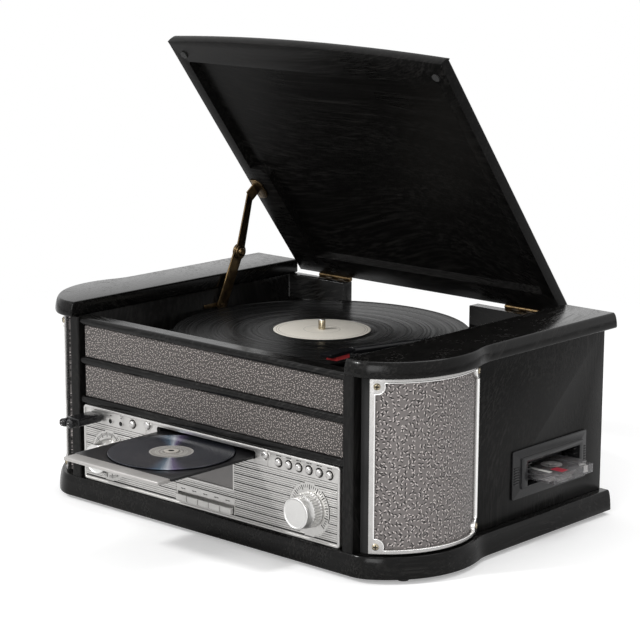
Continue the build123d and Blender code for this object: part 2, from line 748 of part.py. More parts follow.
with BuildPart() as faceplate:
    with BuildSketch(facing(0, PLATE_Z0, PLATE_BACK_Y)):
        RectangleRounded(
            2 * PLATE_X, FASCIA_TOP_Z - PLATE_Z0, PLATE_ROUND, align=(Align.CENTER, Align.MIN)
        )
    extrude(amount=PLATE_T)
    with BuildSketch(facing(0, 0, PLATE_BACK_Y)):
        with Locations((0, (SLOT_Z0 + SLOT_Z1) / 2)):
            RectangleRounded(TRAY_W + 2 * SLOT_SIDE, SLOT_Z1 - SLOT_Z0, SLOT_ROUND)
        with Locations((0, DISPLAY_Z0)):
            Rectangle(2 * DISPLAY_X, DISPLAY_Z1 - DISPLAY_Z0, align=(Align.CENTER, Align.MIN))
        with Locations((0, KEY_Z0 - GAP)):
            Rectangle(2 * KEY_BANK_X, KEY_H + KEY_SLOT_TOP + GAP, align=(Align.CENTER, Align.MIN))
        for x, z, radius in BUTTONS.values():
            with Locations((x, z)):
                Circle(radius + BUTTON_HOLE)
        for x in KNOBS.values():
            with Locations((x, KNOB_Z)):
                Circle(SHAFT_R + RUN)
        with Locations(*JACKS):
            Circle(JACK_R)
        with Locations((LED_X, LED_Z)):
            Circle(LED_R)
        with Locations((USB_X, USB_Z)):
            Rectangle(USB_W + 2 * SLIDE, USB_H + 2 * SLIDE)
    extrude(amount=PLATE_T, mode=Mode.SUBTRACT)
save(faceplate.part, "faceplate")

with BuildPart() as display_window:
    with BuildSketch(facing(0, DISPLAY_Z0, PCB_Y)):
        Rectangle(2 * DISPLAY_X, DISPLAY_Z1 - DISPLAY_Z0, align=(Align.CENTER, Align.MIN))
    extrude(amount=PCB_Y - PLATE_BACK_Y + DISPLAY_T)
save(display_window.part, "display_window")

with BuildPart() as front_sockets:
    with BuildSketch(facing(0, 0, PCB_Y)):
        with Locations(*JACKS):
            Circle(JACK_R)
            Circle(JACK_R - JACK_WALL, mode=Mode.SUBTRACT)
    extrude(amount=PCB_Y - PLATE_FRONT_Y + JACK_OUT)
    with BuildSketch(facing(LED_X, LED_Z, PCB_Y)):
        Circle(LED_R)
    extrude(amount=PCB_Y - PLATE_FRONT_Y + JACK_OUT)
    with BuildSketch(facing(USB_X, USB_Z, PCB_Y)):
        Rectangle(USB_W + 2 * USB_SHELL, USB_H + 2 * USB_SHELL)
    extrude(amount=PCB_Y - PLATE_BACK_Y)
    with BuildSketch(facing(USB_X, USB_Z, PCB_Y - USB_SHELL)):
        Rectangle(USB_W + 2 * SLIDE, USB_H + 2 * SLIDE)
    extrude(amount=PCB_Y - PLATE_BACK_Y, mode=Mode.SUBTRACT)
save(front_sockets.part, "front_sockets")

for node, knob_x in KNOBS.items():
    with BuildPart() as knob:
        with BuildSketch(facing(knob_x, KNOB_Z, PLATE_FRONT_Y - GAP)):
            Circle(KNOB_SKIRT_R)
        extrude(amount=KNOB_SKIRT_T)
        with BuildSketch(facing(knob_x, KNOB_Z, PLATE_FRONT_Y - GAP)):
            Circle(KNOB_R)
        extrude(amount=KNOB_L)
        fillet(knob.faces().sort_by(Axis.Y)[0].edges(), KNOB_ROUND)
        with BuildSketch(facing(knob_x, KNOB_Z, PLATE_FRONT_Y - GAP + SHAFT_L)):
            Circle(SHAFT_R)
        extrude(amount=SHAFT_L)
    save(knob.part, node)

for node, (x, z, radius) in BUTTONS.items():
    with BuildPart() as push:
        with BuildSketch(facing(x, z, PLATE_BACK_Y + BUTTON_IN)):
            Circle(radius)
        extrude(amount=BUTTON_IN + PLATE_T + BUTTON_OUT)
        fillet(push.faces().sort_by(Axis.Y)[0].edges(), BUTTON_ROUND)
        with BuildSketch(facing(x, z, PLATE_BACK_Y + BUTTON_IN)):
            Circle(radius + FLANGE)
        extrude(amount=BUTTON_IN - GAP)
    save(push.part, node)

key_w = KEY_PITCH - 2 * GAP
for node, x in KEYS.items():
    with BuildPart() as key:
        with BuildSketch(facing(x, KEY_Z0, PLATE_BACK_Y + BUTTON_IN)):
            Rectangle(key_w, KEY_H, align=(Align.CENTER, Align.MIN))
        extrude(amount=BUTTON_IN + PLATE_T + KEY_OUT)
        fillet(key.faces().sort_by(Axis.Y)[0].edges(), KEY_ROUND)
        with BuildSketch(facing(x, KEY_Z0, PLATE_BACK_Y + BUTTON_IN)):
            Rectangle(key_w, KEY_H + KEY_SLOT_TOP + FLANGE, align=(Align.CENTER, Align.MIN))
        extrude(amount=BUTTON_IN - GAP)
    save(key.part, node)

STICK_Y = PLATE_FRONT_Y - STICK_OFF
with BuildPart() as usb_stick:
    with BuildSketch(facing(USB_X, USB_Z, STICK_Y)):
        RectangleRounded(STICK_W, STICK_H, STICK_EDGE)
    extrude(amount=STICK_L)
    tip = usb_stick.faces().sort_by(Axis.Y)[0]
    fillet(tip.edges(), STICK_EDGE)
    with BuildSketch(facing(USB_X, USB_Z, STICK_Y + USB_PLUG_L)):
        Rectangle(USB_W, USB_H)
    extrude(amount=USB_PLUG_L)
save(usb_stick.part, "usb_stick")

# ================================================================ CD player
BAR_REAR_Y = TRAY_BAR_Y + TRAY_BAR_L
TRAY_REAR_Y = DISC_Y + TRAY_REAR_L
TRAY_TRAVEL = PLATE_FRONT_Y - GAP - BAR_REAR_Y
with BuildPart() as cd_tray:
    boards(((-TRAY_W / 2, BAR_REAR_Y, TRAY_Z0), (TRAY_W / 2, TRAY_REAR_Y, TRAY_Z1)))
    with BuildSketch(Plane.XY.offset(TRAY_Z1 - TRAY_POCKET)):
        with Locations((DISC_X, DISC_Y)):
            Circle(DISC_R + POCKET_ROOM)
    extrude(amount=TRAY_POCKET, mode=Mode.SUBTRACT)
    with BuildSketch(Plane.XY.offset(TRAY_Z0)):
        with Locations((DISC_X, DISC_Y)):
            Circle(HUB_SEAT_R)
    extrude(amount=DISC_Z - GAP - TRAY_Z0)
    with BuildSketch(Plane.XY.offset(TRAY_Z0)):
        with Locations((DISC_X, DISC_Y)):
            Circle(DISC_BORE - RUN)
    extrude(amount=DISC_Z + DISC_T - TRAY_Z0 + HUB_UP)
save(cd_tray.part, "cd_tray")

with BuildPart() as tray_bar:
    bar_x = TRAY_W / 2 - TRAY_BAR_IN
    boards(((-bar_x, TRAY_BAR_Y, TRAY_Z1 - TRAY_BAR_H), (bar_x, BAR_REAR_Y, TRAY_Z1)))
    fillet(tray_bar.faces().sort_by(Axis.Y)[0].edges(), BAR_ROUND)
save(tray_bar.part, "tray_bar")

with BuildPart() as compact_disc:
    with BuildSketch(Plane.XY.offset(DISC_Z)):
        with Locations((DISC_X, DISC_Y)):
            Circle(DISC_R)
            Circle(DISC_BORE, mode=Mode.SUBTRACT)
    extrude(amount=DISC_T)
save(compact_disc.part, "compact_disc")

DRIVE_REAR_Y = PLATE_BACK_Y + DRIVE_L
with BuildPart() as cd_drive:
    boards((
        (-DRIVE_HALF - DRIVE_WALL, PLATE_BACK_Y, DRIVE_Z0 - DRIVE_WALL),
        (DRIVE_HALF + DRIVE_WALL, DRIVE_REAR_Y, DRIVE_Z1 + DRIVE_WALL),
    ))
    with BuildSketch(facing(0, DRIVE_Z0, DRIVE_REAR_Y - DRIVE_WALL)):
        Rectangle(2 * DRIVE_HALF, DRIVE_Z1 - DRIVE_Z0, align=(Align.CENTER, Align.MIN))
    extrude(amount=DRIVE_L, mode=Mode.SUBTRACT)
    leg_x = DRIVE_HALF + DRIVE_WALL - DRIVE_LEG
    with BuildSketch(Plane.XY.offset(BASE_TOP)):
        for leg_y in (PCB_Y + PCB_T + DRIVE_LEG, DRIVE_REAR_Y - DRIVE_LEG):
            with Locations((-leg_x, leg_y), (leg_x, leg_y)):
                Circle(DRIVE_LEG / 2)
    extrude(amount=DRIVE_Z0 - DRIVE_WALL - BASE_TOP)
    with BuildSketch(Plane.XY.offset(DRIVE_Z0 - DRIVE_WALL - SPIN_MOTOR_H)):
        with Locations((DISC_X, DISC_Y + TRAY_TRAVEL)):
            Circle(SPIN_MOTOR_R)
    extrude(amount=SPIN_MOTOR_H)
save(cd_drive.part, "cd_drive")

# ================================================================ cassette
TAPE_X0 = PANEL_X + TAPE_OUT - TAPE_L
TAPE_Y0 = TAPE_Y - TAPE_W / 2
tape_swell = (TAPE_HEAD_T - TAPE_T) / 2
with BuildPart() as cassette:
    boards(
        ((TAPE_X0, TAPE_Y0, TAPE_Z), (TAPE_X0 + TAPE_L, TAPE_Y0 + TAPE_W, TAPE_Z + TAPE_T)),
        (
            (TAPE_X0 + TAPE_HEAD_IN, TAPE_Y0 + TAPE_W - TAPE_HEAD_W, TAPE_Z - tape_swell),
            (TAPE_X0 + TAPE_L - TAPE_HEAD_IN, TAPE_Y0 + TAPE_W, TAPE_Z + TAPE_T + tape_swell),
        ),
    )
    with BuildSketch(Plane.XY.offset(TAPE_Z - tape_swell)):
        for side in (-1, 1):
            with Locations((TAPE_X0 + TAPE_L / 2 + side * TAPE_HUBS / 2, TAPE_Y + TAPE_HUB_OFF)):
                Circle(TAPE_HUB_R)
    extrude(amount=TAPE_HEAD_T, mode=Mode.SUBTRACT)
save(cassette.part, "cassette")

door_y = (TAPE_DOOR_Y0 + TAPE_DOOR_Y1) / 2
door_z = (TAPE_DOOR_Z0 + TAPE_DOOR_Z1) / 2
door_w = TAPE_DOOR_Y1 - TAPE_DOOR_Y0
door_h = TAPE_DOOR_Z1 - TAPE_DOOR_Z0
side_face = Plane.YZ.offset(PANEL_X)
tape_guide = TAPE_W / 2 + SLIDE
with BuildPart() as cassette_bezel:
    with BuildSketch(side_face):
        with Locations(((BEZEL_Y0 + BEZEL_Y1) / 2, (BEZEL_Z0 + BEZEL_Z1) / 2)):
            RectangleRounded(BEZEL_Y1 - BEZEL_Y0, BEZEL_Z1 - BEZEL_Z0, BEZEL_ROUND)
    extrude(amount=BEZEL_T)
    with BuildSketch(side_face.offset(BEZEL_T)):
        with Locations(((BEZEL_RIM_Y0 + BEZEL_RIM_Y1) / 2, (BEZEL_RIM_Z0 + BEZEL_RIM_Z1) / 2)):
            RectangleRounded(BEZEL_RIM_Y1 - BEZEL_RIM_Y0, BEZEL_RIM_Z1 - BEZEL_RIM_Z0, BEZEL_ROUND)
    extrude(amount=BEZEL_RAISE)
    with BuildSketch(Plane.YZ.offset(PANEL_IN_X)):
        with Locations((door_y, door_z)):
            Rectangle(door_w, door_h)
    extrude(amount=BOARD_T)
    with BuildSketch(Plane.YZ.offset(PANEL_IN_X)):
        with Locations((door_y, door_z)):
            Rectangle(door_w - 2 * SLEEVE_T, door_h - 2 * SLEEVE_T)
    extrude(amount=BOARD_T + BEZEL_T + BEZEL_RAISE, mode=Mode.SUBTRACT)
    for rib_y0, rib_y1 in (
        (TAPE_DOOR_Y0, TAPE_Y - tape_guide - RIB_CLEAR),
        (TAPE_Y + tape_guide + RIB_CLEAR, TAPE_DOOR_Y1),
    ):
        for rib in range(RIB_COUNT):
            rib_z = TAPE_DOOR_Z0 + (rib + 1) * door_h / (RIB_COUNT + 1) - RIB_T / 2
            boards(((PANEL_IN_X, rib_y0, rib_z), (PANEL_X, rib_y1, rib_z + RIB_T)))
save(cassette_bezel.part, "cassette_bezel")

MECH_X0 = TAPE_X0 - TAPE_IN_TRAVEL - ROOM
MECH_FLOOR = TAPE_Z - tape_swell - GAP
MECH_ROOF = TAPE_Z + TAPE_T + tape_swell + ROOM
with BuildPart() as cassette_mechanism:
    boards((
        (MECH_X0 - MECH_WALL, TAPE_Y - tape_guide - MECH_WALL, MECH_FLOOR - MECH_WALL),
        (PANEL_IN_X, TAPE_Y + tape_guide + MECH_WALL, MECH_ROOF + MECH_WALL),
    ))
    with BuildSketch(Plane.YZ.offset(MECH_X0)):
        with Locations((TAPE_Y, (MECH_FLOOR + MECH_ROOF) / 2)):
            Rectangle(2 * tape_guide, MECH_ROOF - MECH_FLOOR)
    extrude(amount=PANEL_IN_X - MECH_X0, mode=Mode.SUBTRACT)
    leg_w = 2 * MECH_WALL
    for leg_x in (MECH_X0, PANEL_IN_X - 2 * leg_w):
        boards((
            (leg_x, TAPE_Y - tape_guide, BASE_TOP),
            (leg_x + leg_w, TAPE_Y + tape_guide, MECH_FLOOR - MECH_WALL),
        ))
save(cassette_mechanism.part, "cassette_mechanism")

# ================================================================ turntable
PLATTER_C = Vector(PLATTER_X, PLATTER_Y)
PLATTER_LOW = PLATTER_TOP - PLATTER_T
AXLE_Z0 = DECK_Z - AXLE_DROP
PULLEY_OFF = DRIVE_RING_R + PULLEY_GAP + PULLEY_R
PULLEY_C = polar(PLATTER_C, PULLEY_OFF, PULLEY_TURN)
RING_Z0 = DECK_TOP + DECK_ROOM
ARM_C = Vector(ARM_X, ARM_Y)
to_record = PLATTER_C - ARM_C
rest_bend = acos(
    (to_record.length**2 + ARM_L**2 - STYLUS_OUT**2) / (2 * to_record.length * ARM_L)
)
ARM_TURN = degrees(atan2(to_record.Y, to_record.X) + rest_bend)
REST_C = polar(ARM_C, REST_AT, ARM_TURN)
POST_TOP = DECK_TOP + POST_H
REST_TOP = ARM_Z - ARM_R - REST_DROP

with BuildPart() as turntable_deck:
    boards(((-WELL_X, BOARD_REAR_Y, DECK_Z), (WELL_X, BACK_Y, DECK_TOP)))
    post(PLATTER_C, AXLE_Z0, AXLE_R + BEARING_WALL, DECK_TOP + DECK_ROOM / 2 - AXLE_Z0)
    post(PLATTER_C, AXLE_Z0, AXLE_R + RUN, DECK_TOP + DECK_ROOM - AXLE_Z0, Mode.SUBTRACT)
    post(PULLEY_C, DECK_Z, PULLEY_HOLE_R, DECK_T, Mode.SUBTRACT)
    post(ARM_C, DECK_TOP, POST_R, POST_H)
    post(ARM_C, POST_TOP - SWIVEL_L, SWIVEL_R + RUN, SWIVEL_L, Mode.SUBTRACT)
    post(REST_C, DECK_TOP, REST_R, REST_TOP - DECK_TOP)
save(turntable_deck.part, "turntable_deck")

with BuildPart() as platter:
    post(PLATTER_C, RING_Z0, PLATTER_R, PLATTER_TOP - RING_Z0)
    post(PLATTER_C, RING_Z0, PLATTER_R - DRIVE_RING_T, PLATTER_LOW - RING_Z0, Mode.SUBTRACT)
    post(PLATTER_C, RING_Z0, DRIVE_RING_R, PLATTER_LOW - RING_Z0)
    post(PLATTER_C, RING_Z0, DRIVE_RING_R - DRIVE_RING_T, PLATTER_LOW - RING_Z0, Mode.SUBTRACT)
    post(PLATTER_C, RING_Z0, HUB_R, PLATTER_LOW - RING_Z0)
    post(PLATTER_C, AXLE_Z0, AXLE_R, PLATTER_LOW - AXLE_Z0)
    post(PLATTER_C, PLATTER_TOP, PLATTER_R - MAT_IN, MAT_T)
    post(PLATTER_C, PLATTER_TOP, SPINDLE_R, RECORD_TOP + SPINDLE_UP - PLATTER_TOP)
save(platter.part, "platter")

with BuildPart() as record:
    post(PLATTER_C, RECORD_Z, RECORD_R, RECORD_T)
    post(PLATTER_C, RECORD_Z, LABEL_R, RECORD_T + LABEL_RAISE)
    post(PLATTER_C, PLATTER_TOP, SPINDLE_R + RUN, RECORD_TOP, Mode.SUBTRACT)
save(record.part, "record")

PULLEY_H = BELT_H + 2 * BELT_SIDE
BELT_Z = RING_Z0 + BELT_SIDE
with BuildPart() as motor_pulley:
    post(PULLEY_C, RING_Z0 - BELT_SIDE, PULLEY_R, PULLEY_H)
    post(PULLEY_C, DECK_Z - MOTOR_H / 2, PULLEY_SHAFT_R, RING_Z0 - DECK_Z + MOTOR_H / 2)
save(motor_pulley.part, "motor_pulley")

with BuildPart() as drive_motor:
    post(PULLEY_C, DECK_Z - MOTOR_H, MOTOR_R, MOTOR_H)
    post(PULLEY_C, DECK_Z - MOTOR_H / 2 - GAP, PULLEY_SHAFT_R + RUN, MOTOR_H, Mode.SUBTRACT)
save(drive_motor.part, "drive_motor")

with BuildPart() as drive_belt:
    with BuildSketch(Plane.XY.offset(BELT_Z)):
        for run_gap, mode in ((GAP + BELT_T, Mode.ADD), (GAP, Mode.SUBTRACT)):
            with BuildSketch(mode=Mode.PRIVATE) as loop:
                with Locations((PLATTER_X, PLATTER_Y)):
                    Circle(DRIVE_RING_R + run_gap)
                with Locations((PULLEY_C.X, PULLEY_C.Y)):
                    Circle(PULLEY_R + run_gap)
                make_hull()
            add(loop.sketch, mode=mode)
    extrude(amount=BELT_H)
save(drive_belt.part, "drive_belt")

# ================================================================ tonearm
arm_dir = polar(Vector(0, 0), 1, ARM_TURN)
ARM_AXIS = Plane(origin=(ARM_X, ARM_Y, ARM_Z), x_dir=(arm_dir.X, arm_dir.Y, 0), z_dir=(0, 0, 1))
STYLUS_Z = RECORD_TOP + STYLUS_LIFT
HEAD_Z = STYLUS_Z + STYLUS_H + CART_H
HEAD_START = ARM_L - HEAD_L + HEAD_OVER


def along_arm(low, high):
    """Box in the arm's own directions: along it, across it and up from the tilt axis."""
    size = Vector(*high) - Vector(*low)
    with Locations(ARM_AXIS.location * Location(low)):
        Box(size.X, size.Y, size.Z, align=(Align.MIN, Align.MIN, Align.MIN))


def arm_rod(start, radius, length, mode=Mode.ADD):
    """Round rod along the arm."""
    place = ARM_AXIS.location * Location((start, 0, 0), (0, 90, 0))
    with Locations(place):
        Cylinder(radius, length, align=(Align.CENTER, Align.CENTER, Align.MIN), mode=mode)


def cross_pin(radius, length, mode=Mode.ADD):
    """Pin along the arm's tilt axis."""
    with Locations(ARM_AXIS.location * Location((0, 0, 0), (90, 0, 0))):
        Cylinder(radius, length, mode=mode)


yoke_half = YOKE_W / 2
yoke_low = POST_TOP + GAP
with BuildPart() as tonearm_gimbal:
    post(ARM_C, POST_TOP - SWIVEL_L + GAP, SWIVEL_R, SWIVEL_L)
    post(ARM_C, yoke_low, yoke_half, YOKE_WALL)
    for side in (-1, 1):
        cheek = (side * yoke_half - YOKE_WALL / 2) - side * YOKE_WALL / 2
        along_arm(
            (-YOKE_LOW, cheek, yoke_low - ARM_Z),
            (YOKE_LOW, cheek + YOKE_WALL, YOKE_LOW),
        )
    cross_pin(PIVOT_R, YOKE_W)
save(tonearm_gimbal.part, "tonearm_gimbal")

block_half = yoke_half - YOKE_WALL - GAP
with BuildPart() as tonearm:
    arm_rod(-ARM_TAIL_L, ARM_R, ARM_TAIL_L + HEAD_START)
    block_up = ARM_R + ARM_BLOCK
    along_arm((-YOKE_LOW, -block_half, -block_up), (YOKE_LOW, block_half, block_up))
    arm_rod(-ARM_TAIL_L, COUNTER_R, COUNTER_L)
    along_arm((HEAD_START - HEAD_T, -ARM_R, HEAD_Z - ARM_Z), (HEAD_START + HEAD_T, ARM_R, 0))
    with BuildSketch(ARM_AXIS.offset(HEAD_Z - ARM_Z)):
        with Locations(Location((ARM_L, 0), HEAD_TURN)):
            RectangleRounded(HEAD_L, HEAD_W, HEAD_ROUND)
    extrude(amount=HEAD_T)
    cross_pin(PIVOT_R + RUN, YOKE_W, Mode.SUBTRACT)
save(tonearm.part, "tonearm")

with BuildPart() as cartridge:
    with BuildSketch(ARM_AXIS.offset(HEAD_Z - CART_H - ARM_Z)):
        with Locations(Location((ARM_L, 0), HEAD_TURN)):
            Rectangle(CART_L, CART_W)
    extrude(amount=CART_H)
    with BuildSketch(ARM_AXIS.offset(HEAD_Z - CART_H - ARM_Z)):
        with Locations((ARM_L, 0)):
            Rectangle(STYLUS_W, STYLUS_W)
    with BuildSketch(ARM_AXIS.offset(STYLUS_Z - ARM_Z)):
        with Locations((ARM_L, 0)):
            Rectangle(STYLUS_TIP, STYLUS_TIP)
    loft()
save(cartridge.part, "cartridge")

# ================================================================ lid and hinges
open_by = radians(LID_OPEN)
LID = Plane(origin=(0, HINGE_Y, LID_Z), x_dir=(1, 0, 0), z_dir=(0, sin(open_by), cos(open_by)))
TOP_L = LID_L - LID_LIP


def lid_y(from_back):
    """Place on the lid, measured from its back edge to the front."""
    return -HINGE_BACK - from_back


def on_lid(low, high, mode=Mode.ADD):
    """Box on the lid: X, distance from the back edge, height over the rim."""
    (x0, back0, z0), (x1, back1, z1) = low, high
    with Locations(LID.location * Location((x0, lid_y(back1), z0))):
        Box(x1 - x0, back1 - back0, z1 - z0, align=(Align.MIN, Align.MIN, Align.MIN), mode=mode)


LID_FRONT = (-LID_X, lid_y(TOP_L)), (0, lid_y(TOP_L + LID_BOW)), (LID_X, lid_y(TOP_L))
with BuildLine(LID) as lid_front:
    ThreePointArc(*LID_FRONT)
lid_path = lid_front.wire()
lid_turn = lid_path % 0
with BuildPart() as lid:
    with BuildSketch(LID):
        with BuildLine():
            bow = ThreePointArc(*LID_FRONT)
            Polyline(bow @ 1, (LID_X, lid_y(0)), (-LID_X, lid_y(0)), bow @ 0)
        make_face()
    extrude(amount=LID_T)
    lid_top = lid.faces().sort_by(Axis(LID.origin, LID.z_dir))[-1]
    fillet(lid_top.edges().filter_by(GeomType.LINE), LID_ROUND)
    with BuildSketch(Plane(origin=lid_path @ 0, x_dir=lid_turn.cross(LID.z_dir), z_dir=lid_turn)):
        with BuildLine():
            lip = EllipticalCenterArc((0, 0), LID_LIP, LID_T, 270, arc_size=90)
            Polyline(lip @ 1, (0, 0), lip @ 0)
        make_face()
    sweep(path=lid_path)
    with BuildSketch(LID):
        with Locations((0, lid_y((LID_SINK_BACK + LID_SINK_FRONT) / 2))):
            RectangleRounded(2 * LID_SINK_X, LID_SINK_FRONT - LID_SINK_BACK, LID_SINK_ROUND)
    extrude(amount=LID_SINK, mode=Mode.SUBTRACT)
    with BuildSketch(LID):
        Polygon(
            (-LID_SINK_X, lid_y(LID_SINK_BACK)),
            (-LID_SINK_X, lid_y(BATTEN_END)),
            (-BATTEN_X - BATTEN_CHAMFER, lid_y(BATTEN_END)),
            (-BATTEN_X, lid_y(BATTEN_END - BATTEN_CHAMFER)),
            (-BATTEN_X, lid_y(LID_SINK_BACK)),
            align=None,
        )
    extrude(amount=LID_SINK)
save(lid.part, "lid")

with BuildPart() as lid_bumpers:
    for side in (-1, 1):
        with BuildSketch(LID.offset(GAP - LID_SEAT)):
            with Locations((side * LID_SINK_X, lid_y(BUMPER_AT))):
                Circle(BUMPER_R)
        extrude(amount=LID_SEAT - GAP)
save(lid_bumpers.part, "lid_bumpers")

finger_l = HINGE_L / HINGE_FINGERS


def knuckles(centre_x, first, radius):
    """Every second knuckle of one hinge along its pin."""
    for finger in range(first, HINGE_FINGERS, 2):
        start = centre_x - HINGE_L / 2 + finger * finger_l + GAP / 2
        with Locations(Location((start, HINGE_Y, LID_Z), (0, 90, 0))):
            Cylinder(radius, finger_l - GAP, align=(Align.CENTER, Align.CENTER, Align.MIN))


leaf_top = LID_Z - KNUCKLE_R - GAP
tongue_z = LID_Z - KNUCKLE_R + HINGE_LEAF_T
with BuildPart() as hinge_lower_leaves:
    for centre_x in (-HINGE_X, HINGE_X):
        x0 = centre_x - HINGE_L / 2
        boards(((x0, REAR_Y, leaf_top - HINGE_LEAF), (x0 + HINGE_L, REAR_Y + HINGE_LEAF_T, leaf_top)))
        knuckles(centre_x, 0, KNUCKLE_R)
        for finger in range(0, HINGE_FINGERS, 2):
            neck = x0 + finger * finger_l + GAP / 2
            boards(((neck, REAR_Y, leaf_top), (neck + finger_l - GAP, HINGE_Y, tongue_z)))
        with Locations(Location((x0, HINGE_Y, LID_Z), (0, 90, 0))):
            Cylinder(HINGE_PIN_R, HINGE_L, align=(Align.CENTER, Align.CENTER, Align.MIN))
save(hinge_lower_leaves.part, "hinge_lower_leaves")

leaf_edge = KNUCKLE_R + GAP
with BuildPart() as hinge_upper_leaves:
    for centre_x in (-HINGE_X, HINGE_X):
        x0 = centre_x - HINGE_L / 2
        on_lid((x0, -HINGE_LEAF_T, leaf_edge), (x0 + HINGE_L, 0, leaf_edge + HINGE_LEAF))
        knuckles(centre_x, 1, KNUCKLE_R)
        for finger in range(1, HINGE_FINGERS, 2):
            neck = x0 + finger * finger_l + GAP / 2
            on_lid((neck, -HINGE_BACK, KNUCKLE_R - HINGE_LEAF_T), (neck + finger_l - GAP, 0, leaf_edge))
        with Locations(Location((x0, HINGE_Y, LID_Z), (0, 90, 0))):
            Cylinder(
                HINGE_PIN_R + RUN,
                HINGE_L,
                align=(Align.CENTER, Align.CENTER, Align.MIN),
                mode=Mode.SUBTRACT,
            )
save(hinge_upper_leaves.part, "hinge_upper_leaves")

# ================================================================ lid stay
STAY_PLATE_X = -WELL_X
LOW_X = STAY_PLATE_X + STAY_T + STAY_WALL_GAP
HIGH_X = LOW_X + STAY_T + GAP
LUG_X = HIGH_X + STAY_T + GAP
STAY_FOOT_Z = WING_Z - STAY_FOOT_DROP
stay_foot = Vector(STAY_FOOT_Y, STAY_FOOT_Z)
lid_pivot_at = LID.from_local_coords(Vector(0, -STAY_AT, -STAY_DROP))
stay_head = Vector(lid_pivot_at.Y, lid_pivot_at.Z)
reach = stay_head - stay_foot
knee_along = (reach.length**2 + STAY_LOW_L**2 - STAY_HIGH_L**2) / (2 * reach.length)
knee_off = sqrt(STAY_LOW_L**2 - knee_along**2)
stay_up = reach.normalized()
stay_knee = stay_foot + stay_up * knee_along + Vector(stay_up.Y, -stay_up.X) * knee_off


def stay_pin(x, centre, radius, length, mode=Mode.ADD):
    """Pin or bore across the stay, from x towards the record."""
    with Locations(Location((x, centre.X, centre.Y), (0, 90, 0))):
        Cylinder(radius, length, align=(Align.CENTER, Align.CENTER, Align.MIN), mode=mode)


def stay_link(x, start, start_width, end, end_width, knee):
    """Flat tapered bar with round ends between two pivots, and a disc at the knee."""
    with BuildSketch(Plane.YZ.offset(x)) as bar:
        for pivot, width in ((start, start_width), (end, end_width)):
            with Locations((pivot.X, pivot.Y)):
                Circle(width / 2)
        make_hull()
        with Locations((knee.X, knee.Y)):
            Circle(STAY_KNEE_R)
    extrude(bar.sketch, amount=STAY_T)


with BuildPart() as stay_bracket:
    tab_y = STAY_FOOT_Y - STAY_TAB
    boards((
        (STAY_PLATE_X, tab_y, STAY_FOOT_Z - STAY_TAB_W / 2),
        (STAY_PLATE_X + STAY_T, STAY_FOOT_Y, STAY_FOOT_Z + STAY_TAB_W / 2),
    ))
    stay_pin(STAY_PLATE_X, stay_foot, STAY_EAR_R, STAY_T)
    stay_pin(STAY_PLATE_X + STAY_T, stay_foot, STAY_PIN_R + STAY_WASHER, STAY_WALL_GAP - GAP)
    stay_pin(STAY_PLATE_X, stay_foot, STAY_PIN_R, LOW_X + STAY_T - STAY_PLATE_X)
save(stay_bracket.part, "stay_bracket")

with BuildPart() as stay_lower_link:
    stay_link(LOW_X, stay_foot, STAY_LOW_W, stay_knee, STAY_LOW_W, stay_knee)
    stay_pin(LOW_X, stay_foot, STAY_PIN_R + RUN, STAY_T, Mode.SUBTRACT)
save(stay_lower_link.part, "stay_lower_link")

with BuildPart() as stay_upper_link:
    stay_link(HIGH_X, stay_knee, STAY_HIGH_W, stay_head, STAY_HEAD_W, stay_knee)
    stay_pin(HIGH_X, stay_head, STAY_PIN_R + RUN, STAY_T, Mode.SUBTRACT)
    stay_pin(HIGH_X + STAY_T, stay_knee, STAY_KNEE_R - STAY_T, STAY_T)
    stay_pin(HIGH_X + STAY_T, stay_knee, STAY_BALL_R, STAY_BALL_R)
    fillet(stay_upper_link.faces().sort_by(Axis.X)[-1].edges(), STAY_BALL_ROUND)
save(stay_upper_link.part, "stay_upper_link")

plate_back = STAY_AT - HINGE_BACK - STAY_PLATE_L / 2
with BuildPart() as stay_plate:
    on_lid((LUG_X, plate_back, -STAY_T), (STAY_PLATE_X1, plate_back + STAY_PLATE_L, 0))
    upright = stay_plate.edges().filter_by(Axis((0, 0, 0), LID.z_dir))
    fillet(upright.sort_by(Axis.X)[-2:], STAY_PLATE_ROUND)
    on_lid(
        (LUG_X, plate_back + STAY_PLATE_L / 4, -STAY_DROP - STAY_HEAD_W / 2),
        (LUG_X + STAY_T, plate_back + STAY_PLATE_L * 3 / 4, 0),
    )
    stay_pin(HIGH_X, stay_head, STAY_PIN_R, LUG_X + STAY_T - HIGH_X)
save(stay_plate.part, "stay_plate")

